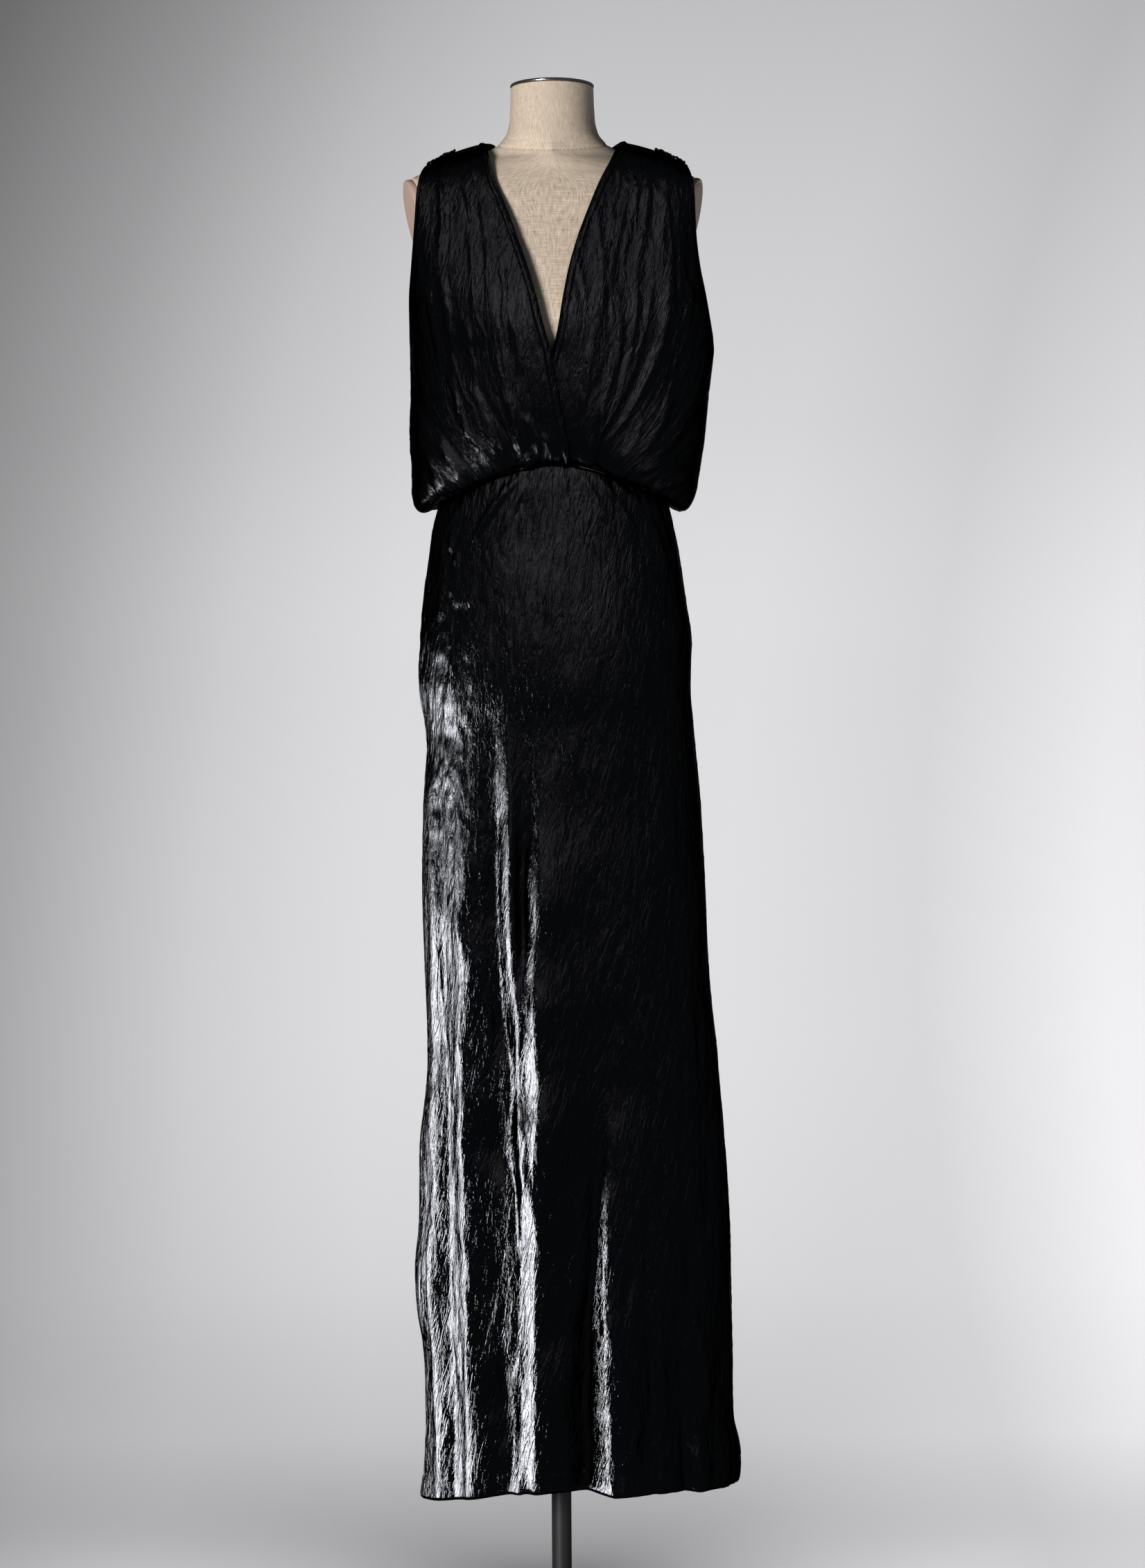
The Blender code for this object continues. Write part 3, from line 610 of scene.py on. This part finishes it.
slanted = feed(nodes.new("ShaderNodeMapping"), Vector=cloth_map, Rotation=(0.0, 0.0, math.radians(13.0)))
ridges = sum_of(nodes, noise(nodes, cloth_map, (62.0, 13.0, 1.0), 1.0, 0.8), 0.5, "SUBTRACT")
relief = bump(nodes, sum_of(nodes, ridges, 0.0, "ABSOLUTE"), 0.0020)
relief = bump(nodes, noise(nodes, slanted, (150.0, 55.0, 1.0), 1.5), 0.0007, Normal=relief)
relief = bump(nodes, cracks(nodes, slanted, (105.0, 16.0, 1.0), 0.08, 2.0, 0.8), 0.00032, Normal=relief)
relief = bump(nodes, cracks(nodes, cloth_map, (230.0, 50.0, 1.0), 0.08, 2.0, 1.4), 0.00011, Normal=relief)
relief = bump(nodes, noise(nodes, cloth_map, (1000.0, 800.0, 1.0)), 0.00013, Normal=relief)
feed(shader, Normal=relief)
pressed = noise(nodes, cloth_map, (60.0, 14.0, 1.0), 3.0)
feed(shader, Roughness=remap(nodes, pressed, 0.32, 0.68, 0.08, 0.14))

velvet_back, nodes, shader = principled("velvet_back", (0.012, 0.012, 0.013), 0.75)
weave = noise(nodes, cloth_coordinates(nodes), (1400.0, 1400.0, 1.0))
feed(shader, Normal=bump(nodes, weave, 0.0002))


def velvet_shell(name, node, points, across, along):
    """A panel's outer face as a shell of velvet, in the place of its node."""
    piece = surface(name, points, np.stack([across, along], axis=-1), velvet, CLOTH_WALL, velvet_back)
    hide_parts(node)
    return piece


def skirt_panel(name, node, side, row_count, column_count, fold_rows, crease_rows, seed):
    """A panel from side seam to side seam: level half ovals down a table of rows, pushed out along their
    normals by folds, creases and crumple, and drawn in at the hem's stitches. side is -1 for the front."""
    steps = np.arange(len(SKIRT["mid"]), dtype=float)
    level = np.linspace(SKIRT["mid"][-1], SKIRT["mid"][0], row_count)
    rows = np.interp(level, SKIRT["mid"][::-1], steps[::-1])[:, None]
    places = -side * np.sin(np.linspace(-0.5 * math.pi, 0.5 * math.pi, column_count))[None, :]
    value = {column: curve_through(steps, SKIRT[column], rows) for column in SKIRT}
    half = np.where(places < 0.0, value["left"], value["right"])
    side_drop = np.where(places < 0.0, value["left_drop"], value["right_drop"])
    height = value["mid"] - side_drop * np.abs(places) ** 1.5
    depth = value["front"] if side < 0 else value["back"]
    base = np.stack([places * half, side * (depth * oval(places) + SEAM_GAP), height], axis=-1)
    across = half * np.interp(places, oval_places, oval_reach)
    hem = height[:1]
    waist = height[-1:]
    drop = waist - height
    lines = across * (1.0 + 0.35 * np.exp(-drop / 0.06))
    out = folds(places, half, height, across, fold_rows) + creases(base[..., 0], height, crease_rows)
    wear = 0.55 + 0.45 * ease((1.25 - height) / 0.5)
    out += 0.0011 * wear * (crumple(lines, height, 0.0125, 0.085, seed) - 0.5)
    out += 0.0006 * wear * (crumple(lines, height, 0.0075, 0.040, seed + 5) - 0.5)
    out += 0.0022 * wear * crush(across, height, 0.030, 0.070, seed + 7)
    pressed = ease((height - 0.90) / 0.20) * ease((-0.06 - across) / 0.05)
    out += 0.0010 * pressed * crush(across, height, 0.0085, 0.013, seed + 13)
    gathers = crush(lines, drop, 0.0050, 0.060, seed + 9)
    out += 0.0016 * gathers * np.exp(-drop / 0.030)
    to_edge = np.minimum(np.abs(across - across[:, :1]), np.abs(across - across[:, -1:]))
    out = out * ease(to_edge / 0.022) * ease(drop / 0.004)
    pucker = crush(height, 0.0 * height, 0.006, 1.0, seed + 11)
    out += 0.0006 * pucker * np.exp(-((to_edge - 0.004) / 0.003) ** 2)
    band = height - hem
    out += 0.0005 * ease((HEM_BAND - band) / 0.003) - 0.0013 * np.exp(-((band - HEM_BAND) / 0.0016) ** 2)
    out = out - 0.0012 * ease(1.0 - band / 0.003)
    points = base + normals_of(base) * out[..., None]
    points[..., 2] -= 0.10 * out * ease(1.0 - band / 0.25)
    return velvet_shell(name, node, points, across, height)


skirt_front = skirt_panel("skirt_front_panel", "skirt_front", -1.0, 320, 152, FRONT_FOLDS, FRONT_CREASES, 100)
skirt_back = skirt_panel("skirt_back_panel", "skirt_back", 1.0, 300, 140, BACK_FOLDS, BACK_CREASES, 200)


# ---------------------------------------------------------------- bodice
# Two fronts that cross at the waist and a back in one piece, all gathered to the shoulder seams and to the
# waist seam. The cloth blouses over the waist. The wearer's right front laps over the left one.

BODICE = table("mid side bow left right fore front aft back lap under", [
    (1499.2, 1453.5, 1.5, 149.5, 146.5, 0, 107.5, 0, 101, 20.5, -60),
    (1501.5, 1448.2, 1.5, 160, 156, 0, 112, 0, 105, 20.5, -59),
    (1504.5, 1446.8, 1.5, 170, 164.5, 0, 116.5, 0, 109, 20.3, -57.5),
    (1508.5, 1453, 1.5, 177.5, 172, 0, 120, 0, 112, 19.8, -55.5),
    (1516, 1468, 1.5, 181, 179, 0, 124, 0, 115, 18.3, -51.5),
    (1530, 1492, 1.5, 181.5, 183.5, 0, 128.5, 0, 117, 15.6, -44),
    (1563.7, 1540, 1.5, 181.5, 191, 0, 132.5, 0, 118, 9.7, -28),
    (1601.3, 1595, 1.5, 182, 196.5, 0, 134.5, 0, 118.5, 3, -12),
    (1631.7, 1644, 1.5, 182.5, 202, 0, 135, 0, 117.5, -2, -2),
    (1665.8, 1679, 1.5, 182, 198.5, 20, 134.5, 18, 115.5, -11.8, 5.9),
    (1705, 1715, 1.5, 181.5, 192, 37, 130, 32, 113, -21, 12.5),
    (1745, 1748, 1.5, 178.5, 185, 47, 119, 43, 109, -32.4, 20.7),
    (1786, 1783, 1.5, 175.5, 180.5, 51, 102, 48, 103, -45.5, 32.5),
    (1828, 1817, 1.6, 173, 179, 50, 85, 49, 94, -59.4, 47.5),
    (1860, 1843, 1.8, 171.5, 178.5, 46, 71, 46, 84, -71, 60),
    (1885, 1862, 2, 169, 176.5, 37, 56, 38, 72, -77, 71.5),
    (1906, 1877, 2.3, 165.5, 173, 20, 36, 22, 52, -81.5, 79.5),
    (1921.6, 1887, 2.6, 161.2, 170, 0, 0, 0, 0, -84, 85),
], "bow")
SHOULDER_ROW = 17.0
UNDERARM_ROW = 8.0           # below it the fronts and the back are sewn together at the sides
LAP_LIFT = 0.0036            # how far the lapping front lies outside the one under it
NECK_BAND = 0.0095           # width of the turned and stitched neck edge

RIGHT_FRONT_CREASES = table(CREASE, [
    (-161, 1728, -142, 1613, 2, 5, 2.4), (-141, 1740, -127, 1640, 2, 5, 2.2),
    (-141, 1868, -141, 1755, 2, 4.5, 2), (-110, 1680, -100, 1600, 2, 4.5, 2),
    (-52, 1680, -40, 1600, 2, 4.5, 1.8), (-134, 1610, -116, 1560, 2, 4, 2.4),
    (-125, 1580, -106, 1530, 2, 4, 2.4), (-111, 1603, -69, 1505, 6, 5, 3),
    (-126, 1550, -70, 1484, 6, 5, 3), (-83, 1560, -60, 1505, 2, 4, 2.6),
    (-15, 1535, 0, 1497, 1, 3.5, 2.2), (-36, 1560, -18, 1500, 2, 4.5, 2.6),
    (-60, 1590, -40, 1500, 3, 4.5, 2.4), (-156, 1490, -118, 1457, -2, 4.5, 3),
    (-160, 1520, -125, 1465, -3, 5, 3), (-146, 1540, -105, 1470, -3, 5, 2.8),
    (-96, 1850, -74, 1690, 4, 5.5, 2), (-120, 1860, -98, 1720, 4, 5.5, 2),
    (-76, 1800, -56, 1680, 3, 5, 1.6), (-100, 1880, -92, 1780, 1, 4, -1.4),
])
LEFT_FRONT_CREASES = table(CREASE, [
    (95, 1860, 47, 1640, 4, 5, 2.6), (123, 1875, 105, 1740, 2, 5, 2.4),
    (147, 1760, 39, 1491, 30, 5.5, 3.4), (124, 1740, 30, 1495, 22, 5, 2.6),
    (87, 1690, 43, 1524, 8, 5, 2.8), (104, 1720, 70, 1560, 10, 4.5, 2.2),
    (172, 1730, 166, 1660, 1, 4.5, 2.2), (146, 1590, 98, 1500, 8, 5, 3),
    (47, 1650, 29, 1550, 3, 4.5, 2.4), (160, 1515, 100, 1484, 2, 4, 3.2),
    (175, 1485, 105, 1462, 2, 4, 3), (165, 1560, 110, 1485, 5, 5, 2.8),
    (62, 1570, 48, 1500, 2, 4, 2.4), (112, 1560, 72, 1490, 6, 4.5, 2.6),
    (80, 1820, 60, 1740, 2, 4.5, 1.6), (108, 1870, 82, 1740, 4, 4.5, 1.8),
    (140, 1850, 134, 1760, 1, 4.5, 1.8), (66, 1760, 44, 1660, 3, 4.5, 1.6),
])
BACK_BODICE_CREASES = table(CREASE, [
    (150, 1740, 60, 1495, 22, 5.5, 3.2), (126, 1860, 104, 1660, 4, 5.5, 2.6),
    (104, 1860, 50, 1540, 10, 5.5, 2.6), (80, 1700, 30, 1495, 8, 5, 2.6),
    (30, 1680, 12, 1500, 2, 5, 2.2), (-6, 1640, -4, 1500, 0, 5, 2),
    (-50, 1760, -24, 1500, -6, 5, 2.4), (-88, 1840, -50, 1540, -8, 5.5, 2.6),
    (-118, 1850, -76, 1520, -14, 5.5, 2.8), (-150, 1720, -70, 1496, -20, 5.5, 3),
    (160, 1540, 110, 1480, 4, 4.5, 3), (-160, 1550, -108, 1480, -4, 4.5, 3),
    (-168, 1500, -110, 1462, -2, 4.5, 2.8), (170, 1490, 112, 1464, 2, 4.5, 2.8),
])


def bodice_base(rows, places, side):
    """Points at fractional table rows and places across, from -1 to 1: an oval from the side edge's depth
    to the centre's, its height falling from the centre line to the side. side is -1 for the front."""
    value = {name: curve_through(np.arange(SHOULDER_ROW + 1.0), BODICE[name], rows) for name in BODICE}
    half = np.where(places < 0.0, value["left"], value["right"])
    height = value["side"] + (value["mid"] - value["side"]) * (1.0 - np.abs(places) ** value["bow"])
    edge, centre = (value["fore"], value["front"]) if side < 0 else (value["aft"], value["back"])
    depth = edge + (centre - edge) * oval(places)
    return np.stack([places * half, side * (depth + SEAM_GAP), height], axis=-1)


def lengths(points, axis):
    """Distance travelled along the grid's rows or columns from its first one."""
    steps = np.linalg.norm(np.diff(points, axis=axis), axis=2)
    start = np.zeros_like(np.take(steps, [0], axis=axis))
    return np.concatenate([start, np.cumsum(steps, axis=axis)], axis=axis)


guide_rows = np.linspace(0.0, SHOULDER_ROW, 901)
guide_length = lengths(bodice_base(guide_rows[:, None], np.full((901, 1), 0.55), -1.0), 0)[:, 0]


def bodice_relief(points, rows, places, crease_rows, seed):
    """How far the bodice's cloth stands out: its creases, the crumple that fans in to the waist, and the
    gathers of the waist and shoulder seams, which die away within a few centimetres."""
    along = np.interp(rows, guide_rows, guide_length)
    from_shoulder = guide_length[-1] - along
    x = points[..., 0]
    fan = x / (1.0 - 0.58 * np.exp(-(along / 0.105) ** 1.5))
    out = creases(x, points[..., 2], crease_rows)
    out += 0.0036 * crush(fan, along, 0.031, 0.20, seed)
    out += 0.0010 * (crumple(fan, along, 0.0135, 0.120, seed + 2) - 0.5)
    out += 0.0006 * (crumple(fan, along, 0.0080, 0.055, seed + 5) - 0.5)
    seam_line = x * (1.0 + 0.3 * np.exp(-along / 0.02))
    out += 0.0034 * crush(seam_line, along, 0.0050, 0.045, seed + 9) * np.exp(-along / 0.022)
    out += 0.0013 * crush(x, from_shoulder, 0.0040, 0.070, seed + 13) * np.exp(-from_shoulder / 0.035)
    out = out * ease(along / 0.005) * ease(from_shoulder / 0.003)
    return out, along, fan


def edge_band(distance, width):
    """A turned edge: a little thicker, with a stitched groove at its width and its last millimetres rolled
    in."""
    return (0.0004 * ease((width - distance) / 0.002) - 0.0006 * np.exp(-((distance - width) / 0.0013) ** 2)
            - 0.0014 * ease(1.0 - distance / 0.0028))


def side_seam(to_side, rows, out, seed, heights):
    """The relief drawn down to nothing at the side seam, slightly puckered, and the armhole's narrow turned
    edge above it."""
    sewn = ease((UNDERARM_ROW + 0.6 - rows) / 0.6)
    pucker = 0.0006 * crush(heights, 0.0 * heights, 0.006, 1.0, seed)
    pucker = pucker * np.exp(-((to_side - 0.004) / 0.003) ** 2)
    held = out * ease(to_side / 0.030)
    return held + sewn * pucker + (1.0 - sewn) * edge_band(to_side, 0.007)


def bodice_front(name, node, inner, outer_side, crease_rows, seed, column_count=196, row_count=226):
    """One front: table rows evenly spaced up the cloth, and places from the side edge to the inner edge."""
    rows = np.interp(np.linspace(0.0, guide_length[-1], row_count), guide_length, guide_rows)[:, None]
    value = {column: curve_through(np.arange(SHOULDER_ROW + 1.0), BODICE[column], rows)
             for column in ("left", "right", inner)}
    inner_place = value[inner] / np.where(value[inner] < 0.0, value["left"], value["right"])
    share = np.linspace(0.0, 1.0, column_count)[None, :]
    start, end = (-1.0, inner_place) if outer_side < 0 else (inner_place, 1.0)
    places = np.sin(np.arcsin(start) + (np.arcsin(end) - np.arcsin(start)) * share)
    rows = rows + 0.0 * places
    base = bodice_base(rows, places, -1.0)
    out, along, fan = bodice_relief(base, rows, places, crease_rows, seed)
    from_first = lengths(base, 1)
    from_last = from_first[:, -1:] - from_first
    to_side, to_neck = (from_first, from_last) if outer_side < 0 else (from_last, from_first)
    out = side_seam(to_side, rows, out, seed + 20, base[..., 2])
    x = base[..., 0]
    if outer_side < 0:
        out += LAP_LIFT * ease((x + 0.125) / 0.055) * ease((12.0 - rows) / 4.0)
    else:
        under = ease((0.050 - x) / 0.045) * ease((9.5 - rows) / 2.0)
        out = out * (1.0 - under) - 0.0014 * under
    rolled = 0.0014 * np.exp(-((to_neck - 0.0065) / 0.0030) ** 2)
    out += edge_band(to_neck * 0.92, NECK_BAND) + rolled
    points = base + normals_of(base) * out[..., None]
    return velvet_shell(name, node, points, fan, along)


right_front = bodice_front("bodice_right_front", "bodice_front_right", "lap", -1.0, RIGHT_FRONT_CREASES, 300)
left_front = bodice_front("bodice_left_front", "bodice_front_left", "under", 1.0, LEFT_FRONT_CREASES, 400)

# The back is one panel whose middle columns stop lower down, which makes its shallow neckline.
BACK_NECK_HALF = 0.084
BACK_NECK_DROP = 2.1
places = -np.sin(np.linspace(-0.5 * math.pi, 0.5 * math.pi, 216))[None, :]
reach = np.abs(places) * BODICE["left"][-1] / BACK_NECK_HALF
top_row = SHOULDER_ROW - BACK_NECK_DROP * ease((1.0 - reach) * 1.6)
top_length = np.interp(top_row, guide_rows, guide_length)
rows = np.interp(np.linspace(0.0, 1.0, 182)[:, None] * top_length, guide_length, guide_rows)
places = places + 0.0 * rows
base = bodice_base(rows, places, 1.0)
out, along, fan = bodice_relief(base, rows, places, BACK_BODICE_CREASES, 500)
from_first = lengths(base, 1)
to_side = np.minimum(from_first, from_first[:, -1:] - from_first)
out = side_seam(to_side, rows, out, 520, base[..., 2])
to_neck = top_length - along
out += edge_band(to_neck, NECK_BAND) * ease((1.06 - reach) / 0.10)
points = base + normals_of(base) * out[..., None]
back_bodice = velvet_shell("bodice_one_piece_back", "bodice_back", points, fan, along)


# ---------------------------------------------------------------- shoulder seams
# The gathered ends of front and back are sewn together and left raw, so a ragged little ruff stands along
# each shoulder seam.

ruffs = []
for side, inner_place, seed in ((-1.0, 0.76, 71), (1.0, 0.76, 72)):
    share = np.linspace(0.0, 1.0, 230)
    place = side * (inner_place + (0.995 - inner_place) * (share if side > 0 else share[::-1]))
    seam = bodice_base(np.full((1, 230), SHOULDER_ROW), place[None, :], -1.0)[0] * np.array([1.0, 0.0, 1.0])
    run = lengths(seam[None], 1)[0]
    turn = np.linspace(0.0, math.tau, 17)[:, None]
    tips = crush(run[None, :], turn * 0.0015, 0.0021, 0.0040, seed)
    swell = crush(run[None, :], 0.0 * turn, 0.0070, 1.0, seed + 4)
    ends = ease(share / 0.03) * ease((1.0 - share) / 0.03)
    radius = (0.0021 + 0.0011 * swell + 0.0013 * tips) * ends
    lean = 0.0012 * crush(run, 0.0 * run, 0.0110, 1.0, seed + 8)
    points = np.stack([seam[:, 0] + 0.0 * turn, seam[:, 1] + lean + 1.5 * radius * np.cos(turn),
                       seam[:, 2] + 0.0012 + radius * np.sin(turn)], axis=-1)
    uv = np.stack([run + 0.0 * turn, turn * 0.003 + 0.0 * run], axis=-1)
    name = "shoulder_ruff_" + ("left" if side > 0 else "right")
    ruff = closed_surface(name, points[::-1], uv[::-1], velvet)
    ruffs.append(ruff)

bpy.context.view_layer.update()
bpy.context.view_layer.update()


# ---------------------------------------------------------------- studio
# A paper sweep whose grey is painted light and shade: lighter and darker tones in its colour that stand in
# for how the light falls on it. Low soft boxes to the left that the pressed pile mirrors, high and frontal
# ones for the bodice's soft sheen, one for the form and one that washes the paper. Flags keep each off what
# it isn't for.

SWEEP_START = 0.7
SWEEP_RADIUS = 1.3
bend = np.linspace(0.0, 0.5 * math.pi, 24)
wall_y = SWEEP_START + SWEEP_RADIUS
floor_y = np.concatenate([[-7.0], np.linspace(-3.0, SWEEP_START, 8)[:-1],
                          SWEEP_START + SWEEP_RADIUS * np.sin(bend), [wall_y, wall_y]])
floor_z = np.concatenate([np.zeros(8), SWEEP_RADIUS * (1.0 - np.cos(bend)), [3.0, 5.0]])
width = np.linspace(-5.0, 5.0, 21)[:, None]
points = np.stack([width + 0.0 * floor_y, floor_y + 0.0 * width, floor_z + 0.0 * width], axis=-1)
paper, nodes, shader = principled("paper", (0.70, 0.68, 0.69), 0.9)
where = nodes.new("ShaderNodeSeparateXYZ")
feed(where, Vector=object_coordinates(nodes))
off_centre = sum_of(nodes, where.outputs[2], 0.7, "SUBTRACT")
off_centre = sum_of(nodes, off_centre, 2.0, "POWER")
off_centre = sum_of(nodes, off_centre, 0.12, "MULTIPLY")
sideways = sum_of(nodes, where.outputs[0], off_centre, "SUBTRACT")


def painted_light_tone(nodes, value, low, high, stops):
    """Painted light and shade on the paper along one direction: a grey at each stop between low and high."""
    stops = [((place - low) / (high - low), (grey,) * 3) for place, grey in stops]
    return tones(nodes, remap(nodes, value, low, high, 0.0, 1.0), stops)


# Painted light and shade: the paper's grey darkens far to the left, higher up the wall and a little near the
# floor, where the studio light falls off.
ACROSS_PAINTED_LIGHT = ((-1.40, 0.30), (-1.25, 0.40), (-1.00, 0.57), (-0.86, 0.70), (-0.66, 0.87), (-0.50, 0.95),
                (-0.36, 1.00), (0.30, 1.00), (0.48, 0.95), (0.64, 0.91), (0.80, 1.00), (0.97, 1.10))
UP_PAINTED_LIGHT = ((0.0, 0.62), (0.07, 0.76), (0.26, 0.81), (0.64, 0.77), (1.01, 0.71), (1.39, 0.645), (1.75, 0.545),
            (2.12, 0.48), (2.48, 0.41), (3.20, 0.25))
# The two painted light and shade tones, multiplied into the paper's colour.
grey = mixed(nodes, painted_light_tone(nodes, sideways, -1.5, 1.1, ACROSS_PAINTED_LIGHT),
             painted_light_tone(nodes, where.outputs[2], -0.1, 3.3, UP_PAINTED_LIGHT), blend="MULTIPLY")
feed(shader, Base_Color=mixed(nodes, grey, (1.0, 0.975, 0.985), blend="MULTIPLY"))
points = points[::-1]
sweep = surface("paper_sweep", points, points[..., :2], paper)
sweep.visible_glossy = False
sweep.visible_shadow = False

bpy.context.scene.view_settings.view_transform = "Standard"
world = bpy.data.worlds.new("studio")
bpy.context.scene.world = world
world.use_nodes = True
world.node_tree.nodes["Background"].inputs["Color"].default_value = (0.80, 0.90, 1.0, 1.0)
world.node_tree.nodes["Background"].inputs["Strength"].default_value = 0.05


def soft_box(name, place, aim, width, height, power, color, only=()):
    """A rectangular lamp at a place, turned to face a point. only are the pieces that it lights."""
    lamp = bpy.data.lights.new(name, "AREA")
    lamp.shape = "RECTANGLE"
    lamp.size = width
    lamp.size_y = height
    lamp.energy = power
    lamp.color = color
    box = bpy.data.objects.new(name, lamp)
    box.location = place
    box.rotation_euler = (Vector(aim) - Vector(place)).to_track_quat("-Z", "Y").to_euler()
    box.visible_camera = False
    bpy.context.scene.collection.objects.link(box)
    if only:
        lit = bpy.data.collections.new(name + "_lights")
        for piece in only:
            lit.objects.link(piece)
        box.light_linking.receiver_collection = lit
    return box


skirt = [skirt_front, skirt_back]
bodice = [right_front, left_front, back_bodice]
cloth = [*skirt, *bodice, *ruffs]
mount = [piece for piece in bpy.data.objects if piece.type == "MESH" and not piece.hide_render
         and piece not in cloth and piece is not sweep]
WHITE = (0.97, 0.99, 1.0)
soft_box("low_left_box", (-1.9, 0.02, 0.215), (0.0, 0.02, 0.215), 1.45, 1.33, 138.0, WHITE, skirt)
soft_box("left_box_top", (-1.9, 0.02, 1.03), (0.0, 0.02, 1.03), 1.45, 0.30, 8.0, WHITE, skirt)
soft_box("seam_box", (-1.9, 0.15, 0.40), (0.0, 0.15, 0.40), 0.55, 0.40, 18.0, WHITE, bodice)
soft_box("overhead_box", (-0.6, -2.6, 3.9), (0.0, 0.0, 1.5), 3.0, 3.0, 12.0, (1.0, 0.93, 0.94), cloth)
soft_box("front_high_box", (-0.3, -6.2, 3.5), (0.0, 0.0, 1.8), 5.0, 3.2, 15.0, (1.0, 0.93, 0.97), cloth)
soft_box("front_left_box", (-2.1, -3.3, 1.2), (0.0, 0.0, 1.7), 1.2, 1.2, 182.0, (1.0, 0.95, 0.91), mount)
soft_box("paper_wash", (0.2, -2.2, 3.3), (0.0, 1.8, 0.9), 3.0, 2.0, 252.0, (0.98, 0.99, 1.0), [sweep])

CAMERA_DISTANCE = 4.6
camera_data = bpy.data.cameras.new("camera")
camera_data.sensor_fit = "VERTICAL"
camera_data.sensor_height = 24.0
camera_data.lens = 24.0 * CAMERA_DISTANCE / 1.991
camera = bpy.data.objects.new("camera", camera_data)
camera.location = (0.020, -CAMERA_DISTANCE, 1.1007)
camera.rotation_euler = (math.radians(90.0), math.radians(0.385), 0.0)
bpy.context.scene.collection.objects.link(camera)
bpy.context.scene.camera = camera
